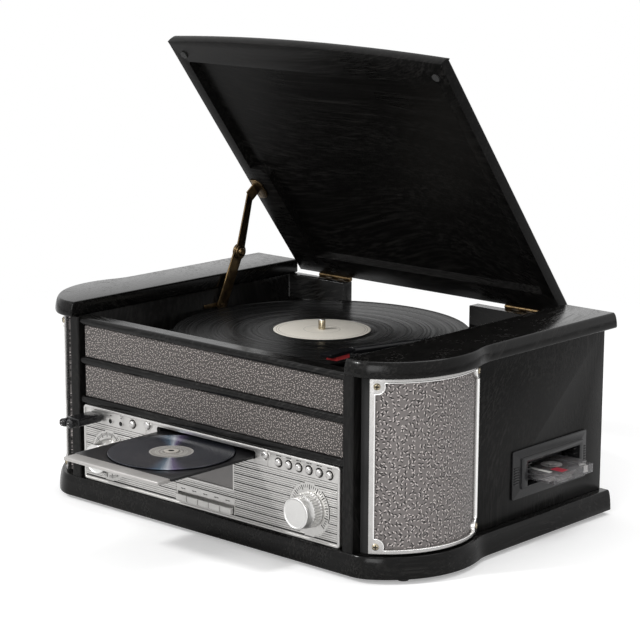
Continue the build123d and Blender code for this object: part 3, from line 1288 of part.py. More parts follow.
# ================================================================ inside and at the back
with BuildPart() as circuit_boards:
    notch = DRIVE_HALF + DRIVE_WALL + ROOM
    with BuildSketch(facing(0, 0, PCB_Y + PCB_T)):
        with Locations((0, PCB_Z0)):
            Rectangle(2 * PCB_X, FASCIA_TOP_Z - PCB_Z0 - ROOM, align=(Align.CENTER, Align.MIN))
        with Locations((0, PCB_Z1)):
            Rectangle(2 * notch, FASCIA_TOP_Z - PCB_Z1, align=(Align.CENTER, Align.MIN), mode=Mode.SUBTRACT)
    extrude(amount=PCB_T)
    for knob_x in KNOBS.values():
        with BuildSketch(facing(knob_x, KNOB_Z, PCB_Y)):
            Circle(POT_R)
            Circle(SHAFT_R + RUN, mode=Mode.SUBTRACT)
        extrude(amount=PCB_Y - PLATE_BACK_Y)
    switch_face = PLATE_BACK_Y + BUTTON_IN + PRESS + GAP
    SWITCHES = [(x, z) for x, z, radius in BUTTONS.values()]
    SWITCHES += [(x, KEY_Z0 + KEY_H / 2) for x in KEYS.values()]
    with BuildSketch(facing(0, 0, PCB_Y)):
        with Locations(*SWITCHES):
            Rectangle(SWITCH_SIDE, SWITCH_SIDE)
    extrude(amount=PCB_Y - switch_face)
    with BuildSketch(facing(0, 0, PCB_Y)):
        for side in (-1, 1):
            with Locations((side * (PCB_X - 2 * STANDOFF_R), PCB_Z0 + 2 * STANDOFF_R)):
                Circle(STANDOFF_R)
    extrude(amount=PCB_Y - PLATE_BACK_Y)
    main_z = BASE_TOP + STANDOFF_H
    boards(((MAIN_PCB_X0, MAIN_PCB_Y0, main_z), (MAIN_PCB_X1, MAIN_PCB_Y1, main_z + PCB_T)))
    for x in (MAIN_PCB_X0 + 2 * STANDOFF_R, MAIN_PCB_X1 - 2 * STANDOFF_R):
        for y in (MAIN_PCB_Y0 + 2 * STANDOFF_R, MAIN_PCB_Y1 - 2 * STANDOFF_R):
            post(Vector(x, y), BASE_TOP, STANDOFF_R, STANDOFF_H)
    boards((
        (TRAFO_X - TRAFO_W / 2, TRAFO_Y - TRAFO_L / 2, BASE_TOP),
        (TRAFO_X + TRAFO_W / 2, TRAFO_Y + TRAFO_L / 2, BASE_TOP + TRAFO_H),
    ))
save(circuit_boards.part, "circuit_boards")

with BuildPart() as rear_connectors:
    with BuildSketch(facing(CONNECTOR_X, CONNECTOR_Z, PANEL_REAR_Y + CONNECTOR_T)):
        Rectangle(CONNECTOR_PLATE_W, CONNECTOR_PLATE_H)
    extrude(amount=CONNECTOR_T)
    with BuildSketch(facing(CONNECTOR_X, CONNECTOR_Z, PANEL_REAR_Y + CONNECTOR_L)):
        with GridLocations(CONNECTOR_PITCH, CONNECTOR_PITCH, 3, 2):
            Circle(CONNECTOR_R)
            Circle(CONNECTOR_R / 2, mode=Mode.SUBTRACT)
    extrude(amount=CONNECTOR_L)
    with BuildSketch(facing(INLET_X, CONNECTOR_Z, PANEL_REAR_Y + CONNECTOR_T)):
        Rectangle(INLET_W, INLET_H)
        Rectangle(INLET_W / 2, INLET_H / 3, mode=Mode.SUBTRACT)
    extrude(amount=CONNECTOR_T)
save(rear_connectors.part, "rear_connectors")
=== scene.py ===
"""Stereo music centre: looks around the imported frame.

X is right, Y back and Z up, with the origin on the table. Lengths are in mm and angles in degrees, and MM
turns lengths into Blender's metres. Only shader scales, the camera, the floor and the lamps use metres.
"""

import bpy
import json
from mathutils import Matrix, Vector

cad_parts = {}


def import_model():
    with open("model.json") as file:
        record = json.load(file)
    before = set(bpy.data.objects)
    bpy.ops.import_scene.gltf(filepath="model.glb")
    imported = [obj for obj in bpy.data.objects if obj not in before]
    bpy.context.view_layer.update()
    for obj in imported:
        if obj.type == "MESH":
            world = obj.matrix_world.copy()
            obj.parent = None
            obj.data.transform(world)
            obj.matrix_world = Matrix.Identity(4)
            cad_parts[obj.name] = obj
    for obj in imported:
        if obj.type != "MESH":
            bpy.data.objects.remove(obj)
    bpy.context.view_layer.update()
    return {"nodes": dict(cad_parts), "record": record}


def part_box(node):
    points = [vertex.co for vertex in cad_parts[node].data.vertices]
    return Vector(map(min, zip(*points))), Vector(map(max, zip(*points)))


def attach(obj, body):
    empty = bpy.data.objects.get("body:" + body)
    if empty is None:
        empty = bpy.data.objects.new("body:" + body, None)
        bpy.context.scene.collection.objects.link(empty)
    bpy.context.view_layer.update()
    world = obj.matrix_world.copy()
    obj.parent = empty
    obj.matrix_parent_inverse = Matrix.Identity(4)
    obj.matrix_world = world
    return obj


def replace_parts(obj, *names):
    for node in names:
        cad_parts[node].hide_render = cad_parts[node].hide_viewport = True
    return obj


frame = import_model()

import json
from math import atan2, cos, pi, radians, sin, sqrt

import bmesh
import bpy
from mathutils import Matrix, Vector

MM = 0.001
UP, BACK, FORWARD = Vector((0, 0, 1)), Vector((0, 1, 0)), Vector((0, -1, 0))


def box_mm(node):
    """Lowest and highest corner of a CAD node."""
    low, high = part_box(node)
    return low / MM, high / MM


def middle_mm(node):
    """Middle of a CAD node's box."""
    low, high = box_mm(node)
    return (low + high) / 2


def toned(colour, share):
    """A colour made darker or lighter by one factor."""
    return tuple(channel * share for channel in colour)


# ------------ shader tools
class Nodes:
    """Short calls that add nodes to a node tree."""

    def __init__(self, tree):
        self.tree = tree

    def put(self, socket, value):
        """Links another node's output to a socket, or sets the socket's own value."""
        if isinstance(value, bpy.types.NodeSocket):
            self.tree.links.new(value, socket)
            return
        if hasattr(socket.default_value, "__len__") and len(socket.default_value) == 4:
            value = (*value, 1.0)[:4]
        socket.default_value = value

    def node(self, kind, inputs, out=0, **settings):
        """Adds a node and gives one of its outputs."""
        made = self.tree.nodes.new("ShaderNode" + kind)
        for key, value in settings.items():
            setattr(made, key, value)
        for key, value in inputs.items():
            self.put(made.inputs[key], value)
        return made.outputs[out]

    def sums(self, kind, a, b=0.5):
        return self.node("Math", {0: a, 1: b}, operation=kind)

    def times(self, a, b):
        return self.sums("MULTIPLY", a, b)


class Shader(Nodes):
    """A procedural material round one Principled shader."""

    def __init__(self, name, **base):
        self.material = bpy.data.materials.new(name)
        self.material.use_nodes = True
        super().__init__(self.material.node_tree)
        self.bsdf = self.tree.nodes["Principled BSDF"]
        for key, value in base.items():
            self.put(self.bsdf.inputs[key.replace("_", " ")], value)

    def place(self, scale=(1, 1, 1), turn=(0, 0, 0), source="Object", shift=(0, 0, 0)):
        where = self.node("TexCoord", {}, source)
        return self.node("Mapping", {"Vector": where, "Location": shift, "Rotation": turn, "Scale": scale})

    def round_axis(self, centre):
        """Place in plan from an upright axis, in metres, and the distance from that axis."""
        flat = self.place(scale=(1, 1, 0), shift=(-centre.x * MM, -centre.y * MM, 0))
        return flat, self.node("VectorMath", {0: flat}, "Value", operation="LENGTH")

    def spun(self, vector, angle):
        """A vector turned about Z, by radians."""
        inputs = {"Vector": vector, "Axis": (0, 0, 1), "Angle": angle}
        return self.node("VectorRotate", inputs, rotation_type="AXIS_ANGLE")

    def part(self, vector, index):
        return self.node("SeparateXYZ", {0: vector}, index)

    def noise(self, where, scale, detail=2.0, rough=0.5, out="Fac"):
        inputs = {"Vector": where, "Scale": scale, "Detail": detail, "Roughness": rough}
        return self.node("TexNoise", inputs, out)

    def ring_noise(self, radius, density):
        """Noise that changes only with the radius."""
        return self.noise(self.node("CombineXYZ", {0: self.times(radius, density)}), 1.0)

    def ramp(self, fac, *stops):
        made = self.tree.nodes.new("ShaderNodeValToRGB")
        dots = made.color_ramp.elements
        while len(dots) < len(stops):
            dots.new(0.5)
        for dot, (at, value) in zip(dots, stops):
            dot.position = at
            dot.color = (*value, 1.0)
        self.put(made.inputs[0], fac)
        return made.outputs[0]

    def span(self, value, low, high, to_low=0.0, to_high=1.0):
        return self.node("MapRange", {"Value": value, 1: low, 2: high, 3: to_low, 4: to_high})

    def mix(self, fac, a, b):
        return self.node("Mix", {0: fac, 6: a, 7: b}, 2, data_type="RGBA")

    def bump(self, height, relief, strength):
        """Relief in mm from a height of 0 to 1."""
        made = self.node("Bump", {"Height": height, "Distance": relief * MM, "Strength": strength})
        self.put(self.bsdf.inputs["Normal"], made)

    def colour(self, value):
        self.put(self.bsdf.inputs["Base Color"], value)

    def tones(self, fac, low, high, dark, pale):
        """Base colour that goes from dark to pale while fac goes from low to high."""
        self.colour(self.mix(self.span(fac, low, high), dark, pale))

    def rough(self, value):
        self.put(self.bsdf.inputs["Roughness"], value)


# ------------ materials
BLACK, WHITE = (0.0, 0.0, 0.0), (1.0, 1.0, 1.0)
GRAIN_DRIFT = 3.0  # noise per metre that bends the grain slowly
DRIFT_SHIFT = (0.02, 0.02, 0.02)
PORE_CELLS = (800, 800, 20)  # noise per metre across, across and along the grain
BAND_CELLS = (95, 95, 3.2)
PORE_TONE, WOOD_TONE = (0.25, 0.24, 0.23), (1.0, 0.95, 0.9)


def wood(name, turn, light=0.0125, low=0.13, high=0.2, shine=0.16):
    """Black-stained ash under satin lacquer: open pores and soft cathedral bands along the grain.

    turn lays the grain along a board, light is its palest tone, low and high bound its roughness.
    """
    s = Shader(name, Specular_IOR_Level=shine)
    along = s.place(turn=turn)
    drift = s.noise(along, GRAIN_DRIFT, 0.0, out="Color")
    bent = s.node("VectorMath", {0: along, 1: drift, 2: DRIFT_SHIFT}, operation="MULTIPLY_ADD")
    fine = s.node("Mapping", {"Vector": bent, "Scale": PORE_CELLS})
    pores = s.ramp(s.noise(fine, 1.0, 3.0, 0.6), (0.46, BLACK), (0.64, WHITE))
    broad = s.node("Mapping", {"Vector": bent, "Scale": BAND_CELLS})
    bands = s.ramp(s.noise(broad, 1.0), (0.35, BLACK), (0.65, WHITE))
    depth = s.times(pores, s.span(bands, 0, 1, 0.25, 1.0))
    cloud = s.noise(along, 9.0, 3.0)
    s.colour(s.mix(depth, toned(PORE_TONE, light), toned(WOOD_TONE, light)))
    s.rough(s.sums("ADD", s.span(cloud, 0.3, 0.7, low, high), s.times(depth, 0.16)))
    s.bump(s.sums("SUBTRACT", 1.0, depth), 0.08, 0.09)
    return s.material


def plastic(name, colour, rough, grain=900, relief=0.01, shine=0.5, metallic=0.0):
    """Moulded or painted surface with a fine texture and faint handling marks."""
    s = Shader(name, Specular_IOR_Level=shine, Metallic=metallic)
    where = s.place()
    marks = s.noise(where, 22.0, 4.0)
    s.tones(marks, 0.35, 0.7, toned(colour, 0.86), colour)
    s.rough(s.span(marks, 0.3, 0.7, rough * 0.85, rough * 1.15))
    s.bump(s.noise(where, grain, 3.0), relief, 0.6)
    return s.material


def metal(name, colour, rough, grain, worn=None, stretch=(1, 1, 1)):
    """Metal with drawn or tumbled grain; worn is a second colour in its hollows."""
    s = Shader(name, Metallic=1.0)
    drawn = s.noise(s.place(scale=stretch), grain, 3.0)
    spots = s.noise(s.place(), 140.0, 4.0)
    s.tones(spots, 0.35, 0.65, worn or toned(colour, 0.86), colour)
    s.rough(s.span(drawn, 0.3, 0.7, rough * 0.85, rough * 1.18))
    s.bump(drawn, 0.004, 0.5)
    return s.material


# a raised stroke on the cloth, coloured as a painted highlight, and the painted shadow beside it: where
# their edges start and end, in shares of the pitch
STROKE_LENGTH, STROKE_WIDTH = (0.21, 0.30), (0.09, 0.16)
SHADOW_LENGTH, SHADOW_WIDTH, SHADOW_ASIDE = (0.30, 0.42), (0.13, 0.22), 0.27


def cloth(name, pitch, tone, shadow, bright):
    """Speaker cloth: fine weave with short raised strokes at random angles, on UV metres.

    pitch is the strokes' spacing; bright scales the tone of the painted highlight on a stroke, and shadow
    that of the painted shadow beside it.
    """
    s = Shader(name, Sheen_Weight=0.15, Sheen_Roughness=0.5)
    uv = s.place(source="UV")
    cells = 1.0 / (pitch * MM)
    spread = {"Vector": uv, "Scale": cells, "Randomness": 0.95}
    cell = s.node("TexVoronoi", spread, voronoi_dimensions="2D").node
    scaled = s.node("VectorMath", {0: uv, 3: cells}, operation="SCALE")
    centre = s.node("VectorMath", {0: cell.outputs["Position"], 3: cells}, operation="SCALE")
    away = s.node("VectorMath", {0: scaled, 1: centre}, operation="SUBTRACT")
    chance = s.node("SeparateColor", {0: cell.outputs["Color"]})
    turned = s.spun(away, s.times(chance, 2 * pi))
    along = s.sums("ABSOLUTE", s.part(turned, 0))
    across = s.part(turned, 1)
    aside = s.sums("ABSOLUTE", s.sums("ADD", across, SHADOW_ASIDE))

    def within(length, width, middle):
        """1 inside a bar and 0 outside it, with soft edges."""
        return s.times(s.span(along, *length, 1.0, 0.0), s.span(middle, *width, 1.0, 0.0))

    # painted highlight on each raised stroke, and painted shadow beside it
    light = within(STROKE_LENGTH, STROKE_WIDTH, s.sums("ABSOLUTE", across))
    shade = within(SHADOW_LENGTH, SHADOW_WIDTH, aside)
    weave = s.noise(uv, 2600.0, 2.0, 0.7)
    patch = s.noise(uv, 60.0, 3.0)
    ground = s.mix(s.span(weave, 0.35, 0.65), toned(tone, 0.55), toned(tone, 1.25))
    ground = s.mix(s.span(patch, 0.3, 0.7, 0.0, 0.22), ground, toned(tone, 0.6))
    dark = s.mix(s.times(shade, 0.95), ground, toned(tone, shadow))
    s.colour(s.mix(light, dark, tuple(min(channel, 0.8) for channel in toned(tone, bright))))
    s.rough(0.85)
    s.bump(s.sums("ADD", light, s.times(weave, 0.35)), 0.25, 0.8)
    return s.material


def ringed(name, centre, rough, pitch, relief, density, **base):
    """Surface with fine rings round an upright axis: its shader, place in plan, radius and ring tone.

    pitch and relief belong to the groove, density is that of the ring tone, per metre.
    """
    s = Shader(name, **base)
    tangent = s.node("Tangent", {}, direction_type="RADIAL", axis="Z")
    s.put(s.bsdf.inputs["Tangent"], tangent)
    flat, radius = s.round_axis(centre)
    tone = s.ring_noise(radius, density)
    s.rough(s.span(tone, 0.4, 0.6, rough * 0.8, rough * 1.2))
    s.bump(s.sums("SINE", s.times(radius, 2 * pi / (pitch * MM))), relief, 0.5)
    return s, flat, radius, tone


RECORD_MIDDLE = middle_mm("record")
DISC_MIDDLE = middle_mm("compact_disc")
VINYL_BLACK = (0.008, 0.008, 0.008)
# painted highlight: the disc's rainbow glint runs along one line through its centre, turned this many
# degrees to point at the camera
PAINTED_GLINT_TURN = 48.0
PAINTED_GLINT_HUES = (
    (0.0, (0.10, 0.13, 0.22)), (0.3, (0.16, 0.26, 0.36)), (0.5, (0.62, 0.66, 0.74)),
    (0.68, (0.26, 0.20, 0.38)), (1.0, (0.10, 0.11, 0.16)),
)
HUB_EDGE = (0.0208, 0.0214)  # metres from the disc's centre where its data area starts
LABEL_RINGS = (0.0465, 0.044, 0.0185)  # metres from the record's centre


def vinyl_material():
    """Black vinyl with the sheen of its grooves."""
    s, _, _, tone = ringed(
        "vinyl", RECORD_MIDDLE, 0.24, 0.9, 0.02, 260, Anisotropic=0.7, Specular_IOR_Level=0.03
    )
    s.tones(tone, 0.4, 0.6, toned(VINYL_BLACK, 0.7), VINYL_BLACK)
    return s.material


def disc_material():
    """Pressed disc: dark mirror, a painted highlight in rainbow hues along one line through its centre, and
    a ringed hub.
    """
    s, flat, radius, _ = ringed(
        "disc_mirror", DISC_MIDDLE, 0.2, 0.6, 0.003, 500, Anisotropic=0.8, Metallic=0.5
    )
    # painted highlight: a pale rainbow band along the turned line, fading away from it
    turned = s.spun(flat, radians(PAINTED_GLINT_TURN))
    off_line = s.sums("DIVIDE", s.part(turned, 1), s.sums("MAXIMUM", radius, 0.001))
    painted_glint = s.span(s.sums("ABSOLUTE", off_line), 0.0, 0.34, 1.0, 0.0)
    hues = s.ramp(s.span(off_line, -0.3, 0.3), *PAINTED_GLINT_HUES)
    data = s.mix(painted_glint, (0.035, 0.038, 0.048), hues)
    hub = s.mix(s.span(s.ring_noise(radius, 900), 0.4, 0.6), (0.30, 0.285, 0.26), (0.74, 0.72, 0.68))
    s.colour(s.mix(s.span(radius, *HUB_EDGE), hub, data))
    return s.material


def knob_material():
    """Spun plated plastic."""
    s = Shader("silver_knob", Metallic=1.0)
    fine = s.noise(s.place(), 2500.0, 3.0)
    s.tones(fine, 0.35, 0.65, (0.70, 0.695, 0.68), (0.76, 0.755, 0.74))
    s.rough(s.span(fine, 0.3, 0.7, 0.30, 0.38))
    s.bump(fine, 0.003, 0.5)
    return s.material


def label_material():
    """Cream paper label with plain printed rings."""
    s = Shader("label_paper", Roughness=0.62)
    radius = s.round_axis(RECORD_MIDDLE)[1]
    fibre = s.noise(s.place(), 700.0, 3.0)
    paper = s.mix(s.span(fibre, 0.3, 0.7), (0.74, 0.70, 0.62), (0.80, 0.76, 0.68))
    lines = 0.0
    for at in LABEL_RINGS:
        near = s.span(s.sums("ABSOLUTE", s.sums("SUBTRACT", radius, at)), 0.00015, 0.0003, 1.0, 0.0)
        lines = s.sums("MAXIMUM", lines, near)
    s.colour(s.mix(s.times(lines, 0.7), paper, (0.10, 0.095, 0.09)))
    s.bump(fibre, 0.01, 0.5)
    return s.material


def clear_material():
    """Clear moulding with faint smears."""
    s = Shader("clear_shell", Transmission_Weight=0.9, IOR=1.5)
    s.colour(s.mix(s.noise(s.place(), 40.0), (0.74, 0.72, 0.74), (0.86, 0.84, 0.86)))
    s.rough(s.span(s.noise(s.place(), 120.0), 0.3, 0.7, 0.03, 0.07))
    return s.material


TURN_X = (0, radians(90), 0)
TURN_Y = (radians(90), 0, 0)
ash_z = wood("ash_upright", (0, 0, 0), light=0.016, low=0.22, high=0.34, shine=0.13)
ash_x = wood("ash_across", TURN_X)
ash_y = wood("ash_along", TURN_Y)
ash_lid = wood("ash_lid", TURN_X, light=0.013, low=0.24, high=0.36, shine=0.06)

# name, colour, roughness, grain per metre, relief
rubber = plastic("rubber", (0.018, 0.018, 0.018), 0.7, 1500, 0.06)
dark_plastic = plastic("dark_moulding", (0.016, 0.016, 0.017), 0.34, 1300, 0.03, shine=0.35)
tray_plastic = plastic("tray_moulding", (0.011, 0.011, 0.012), 0.36, 1800, 0.02, shine=0.2)
gloss_plastic = plastic("gloss_moulding", (0.008, 0.008, 0.009), 0.14, 400, 0.004, shine=0.3)
bezel_plastic = plastic("bezel_moulding", (0.013, 0.013, 0.014), 0.18, shine=0.4)
hub_plastic = plastic("hub_moulding", (0.46, 0.43, 0.39), 0.35)
white_plastic = plastic("white_moulding", (0.72, 0.71, 0.68), 0.4)
stylus_red = plastic("stylus_red", (0.66, 0.06, 0.065), 0.28, 700, 0.01)
display_grey = plastic("display_window", (0.21, 0.20, 0.195), 0.22, 500, 0.004)
board_green = plastic("solder_mask", (0.03, 0.14, 0.06), 0.4, 500, 0.02)
tape_brown = plastic("tape_pack", (0.035, 0.02, 0.015), 0.3, 2500, 0.02)
white_paper = plastic("white_paper", (0.78, 0.77, 0.74), 0.7, 700, 0.02)
red_paper = plastic("red_paper", (0.42, 0.02, 0.045), 0.6, 700, 0.02)
shadow_paint = plastic("black_fabric_paint", (0.006, 0.006, 0.006), 0.8, 900, 0.04)
bar_paint = plastic("tray_bar_paint", (0.44, 0.425, 0.41), 0.36, 1800, 0.01, metallic=0.4)
key_paint = plastic("key_paint", (0.60, 0.59, 0.57), 0.32, 1800, 0.01, metallic=0.5)
# painted shade: a dark sheet for the shade in deep grooves, button gaps, socket holes, the key well and
# screw crosses; the next, mid-grey one for the shade in the fine grooves
painted_shade = plastic("groove_shadow", (0.012, 0.012, 0.011), 0.6, shine=0.1)
fine_groove_shade = plastic("fine_groove_shade", (0.11, 0.108, 0.104), 0.6, shine=0.1)
print_ink = plastic("printed_marks", (0.035, 0.034, 0.032), 0.5, shine=0.15)

# name, colour, roughness, grain per metre, colour in the hollows
silver_paint = metal("silver_paint", (0.56, 0.55, 0.535), 0.40, 2600, (0.53, 0.52, 0.505), (0.15, 1, 1))
silver_trim = metal("silver_trim", (0.54, 0.53, 0.52), 0.27, 2200, (0.50, 0.49, 0.48))
bead_metal = metal("frame_bead", (0.90, 0.895, 0.88), 0.2, 2200, (0.86, 0.85, 0.84))
sleeve_brass = metal("sleeve_brass", (0.50, 0.43, 0.30), 0.3, 700, (0.36, 0.30, 0.2))
old_brass = metal("old_brass", (0.17, 0.115, 0.055), 0.36, 350, (0.075, 0.052, 0.03))
bright_brass = metal("bright_brass", (0.78, 0.62, 0.34), 0.24, 400, (0.5, 0.38, 0.2))
screw_steel = metal("screw_plating", (0.46, 0.41, 0.31), 0.25, 400, (0.32, 0.27, 0.19))
steel = metal("steel", (0.60, 0.59, 0.58), 0.25, 700)
alloy = metal("turned_alloy", (0.66, 0.66, 0.66), 0.3, 500)

speaker_cloth = cloth("speaker_cloth", 3.8, (0.215, 0.196, 0.190), 0.03, 3.0)
strip_cloth = cloth("strip_cloth", 2.4, (0.07, 0.062, 0.058), 0.03, 7.0)
vinyl = vinyl_material()
mirror_disc = disc_material()
silver_knob = knob_material()
label_paper = label_material()
clear_shell = clear_material()

LOOKS = (
    (rubber, "feet drive_belt lid_bumpers"), (ash_x, "back_panel front_panel"), (ash_lid, "lid"),
    (ash_y, "base_plinth top_wings"), (ash_z, "side_panels well_walls pillars"),
    (strip_cloth, "grille_strips"), (speaker_cloth, "speaker_grilles"), (shadow_paint, "speaker_baffles"),
    (silver_trim, "speaker_frames"), (silver_paint, "faceplate"), (display_grey, "display_window"),
    (dark_plastic, "speaker_drivers cd_drive cassette_mechanism turntable_deck rear_connectors"),
    (bezel_plastic, "cassette_bezel"), (tray_plastic, "cd_tray"), (bar_paint, "tray_bar"),
    (gloss_plastic, "tonearm_gimbal tonearm usb_stick"), (stylus_red, "cartridge"),
    (key_paint, "function_key_1 function_key_2 function_key_3 function_key_4 function_key_5"),
    (old_brass, "hinge_lower_leaves hinge_upper_leaves stay_bracket stay_plate"),
    (old_brass, "stay_lower_link stay_upper_link"), (bright_brass, "motor_pulley"), (alloy, "platter"),
    (screw_steel, "frame_screws"), (steel, "front_sockets drive_motor"), (board_green, "circuit_boards"),
    (vinyl, "record"), (mirror_disc, "compact_disc"), (clear_shell, "cassette"),
)
NODE_LOOKS = {node: look for look, nodes in LOOKS for node in nodes.split()}
for node, obj in frame["nodes"].items():
    obj.data.materials.clear()
    obj.data.materials.append(NODE_LOOKS.get(node, silver_trim))


# ------------ mesh tools
def link(name, data):
    """New object in the scene."""
    obj = bpy.data.objects.new(name, data)
    bpy.context.scene.collection.objects.link(obj)
    return obj


def piece(name, bm, material, body="cabinet", angle=35.0):
    """Turns a bmesh into a piece that rides on a body; edges sharper than the angle stay sharp."""
    mesh = bpy.data.meshes.new(name)
    bmesh.ops.recalc_face_normals(bm, faces=bm.faces)
    bm.to_mesh(mesh)
    bm.free()
    mesh.shade_smooth()
    mesh.set_sharp_from_angle(angle=radians(angle))
    mesh.materials.append(material)
    obj = link(name, mesh)
    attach(obj, body)
    return obj


BODIES = frame["record"]["behaviour"]["bodies"]
BODY_OF = {node: body for body, nodes in BODIES.items() for node in nodes}
EASE_ANGLE, FLAT_ANGLE, WELD = 28.0, 0.4, 0.002  # edges rounded above, faces joined below


def eased(node, width):
    """Copy of a CAD node with its sharp edges rounded, which stands for it."""
    bm = bmesh.new()
    bm.from_mesh(frame["nodes"][node].data)
    bmesh.ops.remove_doubles(bm, verts=bm.verts, dist=WELD * MM)
    bmesh.ops.dissolve_limit(bm, angle_limit=radians(FLAT_ANGLE), verts=bm.verts, edges=bm.edges)
    limit = radians(EASE_ANGLE)
    sharp = [e for e in bm.edges if len(e.link_faces) == 2 and e.calc_face_angle(0.0) > limit]
    bmesh.ops.bevel(
        bm, geom=sharp, offset=width * MM, offset_type="OFFSET", segments=ROUNDEST.get(node, 2), profile=0.5,
        affect="EDGES", clamp_overlap=True,
    )
    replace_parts(piece(node + "_finish", bm, NODE_LOOKS[node], BODY_OF[node]), node)


def turned_block(bm, size, middle, *turns):
    """Box of a size, turned by each matrix and then moved; gives its corners."""
    made = bmesh.ops.create_cube(bm, size=1.0)["verts"]
    bmesh.ops.scale(bm, vec=Vector(size) * MM, verts=made)
    for turn in turns:
        bmesh.ops.rotate(bm, matrix=turn, verts=made)
    bmesh.ops.translate(bm, vec=Vector(middle) * MM, verts=made)
    return made


def block(bm, low, high, width=0.0, segments=2):
    """Box between two corners, its edges rounded."""
    low, high = Vector(low), Vector(high)
    made = turned_block(bm, high - low, (low + high) / 2)
    if width:
        edges = list({edge for vert in made for edge in vert.link_edges})
        bmesh.ops.bevel(bm, geom=edges, offset=width * MM, segments=segments, profile=0.5, affect="EDGES")


def facing(axis):
    """Turn that brings Z to an axis."""
    return UP.rotation_difference(axis.normalized()).to_matrix()


def round_spots(origin, axis):
    """Function that gives the place in metres of a radius, angle and height round an axis."""
    turn = facing(axis)
    origin = Vector(origin)
    return lambda radius, angle, height: (
        origin + turn @ Vector((cos(angle) * radius, sin(angle) * radius, height))
    ) * MM


def lathe(bm, profile, origin, axis=UP, steps=48, flutes=None):
    """Solid of revolution from (radius, height) pairs; its ends close on the axis.

    flutes gives what is added to the radius of a profile point at a step of the turn.
    """
    spot = round_spots(origin, axis)
    rings = []
    for index, (radius, height) in enumerate(profile):
        ring = []
        for step in range(steps if radius else 1):
            reach = radius + (flutes(index, step) if flutes and radius else 0)
            ring.append(bm.verts.new(spot(reach, 2 * pi * step / steps, height)))
        rings.append(ring)
    for lower, upper in zip(rings, rings[1:]):
        for step in range(steps):
            turns = ((lower, step), (lower, step + 1), (upper, step + 1), (upper, step))
            corners = list(dict.fromkeys(ring[turn % len(ring)] for ring, turn in turns))
            if len(corners) > 2:
                bm.faces.new(corners)


def skin(bm, loops, closed=True):
    """Faces between closed loops of corners; closed also joins the last loop to the first."""
    pairs = list(zip(loops, loops[1:]))
    if closed:
        pairs.append((loops[-1], loops[0]))
    for one, other in pairs:
        for index in range(len(one)):
            bm.faces.new((one[index - 1], one[index], other[index], other[index - 1]))


def hoop(bm, profile, origin, axis=UP, steps=40):
    """Closed ring of revolution: the profile is a loop of (radius, height) pairs."""
    spot = round_spots(origin, axis)
    loops = []
    for step in range(steps):
        angle = 2 * pi * step / steps
        loops.append([bm.verts.new(spot(radius, angle, height)) for radius, height in profile])
    skin(bm, loops)


def band(inner, outer, low, high):
    """Square profile for hoop()."""
    return [(inner, low), (inner, high), (outer, high), (outer, low)]


def sheet_uv(bm, measure):
    """Writes a UV in metres on every face corner."""
    layer = bm.loops.layers.uv.new("metres")
    for face in bm.faces:
        for loop in face.loops:
            loop[layer].uv = measure(loop.vert)


# ------------ CAD nodes with rounded edges
EASED = {
    # slot, and each node with its edges' width
    "black_ash": {
        "top_wings": 2.4, "base_plinth": 2.0, "lid": 1.0, "back_panel": 0.8, "side_panels": 0.5,
        "well_walls": 0.5,
    },
    "dark_plastic": {
        "turntable_deck": 0.6, "cassette_bezel": 0.5, "tonearm_gimbal": 0.4, "tonearm": 0.3, "cd_tray": 0.3,
    },
    "silver_paint": {"faceplate": 0.4},
    "silver_plastic": {"speaker_frames": 0.9, "tray_bar": 0.4},
    "display_grey": {"display_window": 0.3},
    "brass_old": {"stay_bracket": 0.3, "stay_plate": 0.3, "stay_lower_link": 0.3, "stay_upper_link": 0.3},
    "rubber_black": {"feet": 0.6},
    "alloy": {"platter": 0.5},
    "clear_smoke": {"cassette": 0.5},
}
ROUNDEST = {"top_wings": 5, "base_plinth": 4, "speaker_frames": 3, "lid": 3}  # segments; others have 2

# ------------ speaker fronts
CORNER_X, FRONT_Y = 191.0, -166.0  # where the tight curve of the front corner starts
CORNER_R, NOSE_R, NOSE_TURN = 30.0, 91.0, -57.0  # tight curve, wide curve, and the angle where they meet
FRAME_START, FRAME_END, FRAME_SINK = -63.0, 31.5, 3.0  # angles of its ends, and its depth
TIGHT = Vector((CORNER_X, FRONT_Y + CORNER_R))
WIDE = TIGHT + Vector((cos(radians(NOSE_TURN)), sin(radians(NOSE_TURN)))) * (CORNER_R - NOSE_R)
CORNER_RUN = radians(NOSE_TURN - FRAME_START) * (CORNER_R - FRAME_SINK)
NOSE_RUN = CORNER_RUN + radians(FRAME_END - NOSE_TURN) * (NOSE_R - FRAME_SINK)

CLOTH_FACES = (7.0, 9.0)  # depths in the nose of the cloth's front and back
CLOTH_COLUMNS, CLOTH_ROWS = 56, 12
STRIP_HEIGHT, STRIP_ROUND = 32.0, 0.6  # cloth between the rails

LOBE_INSET, LOBE_R = 6.6, 7.8  # round corner of the frame, with a screw in its middle
FRAME_BAR, FRAME_SIDE = 3.6, 5.2  # frame's width along the top and bottom, and at its ends
FRAME_Z0, FRAME_Z1 = (corner.z for corner in box_mm("speaker_frames"))
SCREW_DOME = [(0, -0.2), (3.2, -0.2), (3.2, 0.5), (2.7, 1.05), (1.6, 1.45), (0, 1.6)]
# dark bars of painted shade for each screw's cross recess: size, height up the screw's axis, and turns
CROSS_BAR, CROSS_OUT, CROSS_TURNS = (1.05, 4.4, 0.5), 1.38, (35, 125)

LOBE_STEPS, PATH_STEP = 14, 3.0
# bright bead round the frame's opening: (distance from its edge, height over the frame's face)
BEAD = ((-1.3, -0.3), (-1.15, 0.35), (-0.65, 0.6), (-0.15, 0.4), (0.05, 0.0), (0.05, -1.2))
BEAD_SHARP = 60.0


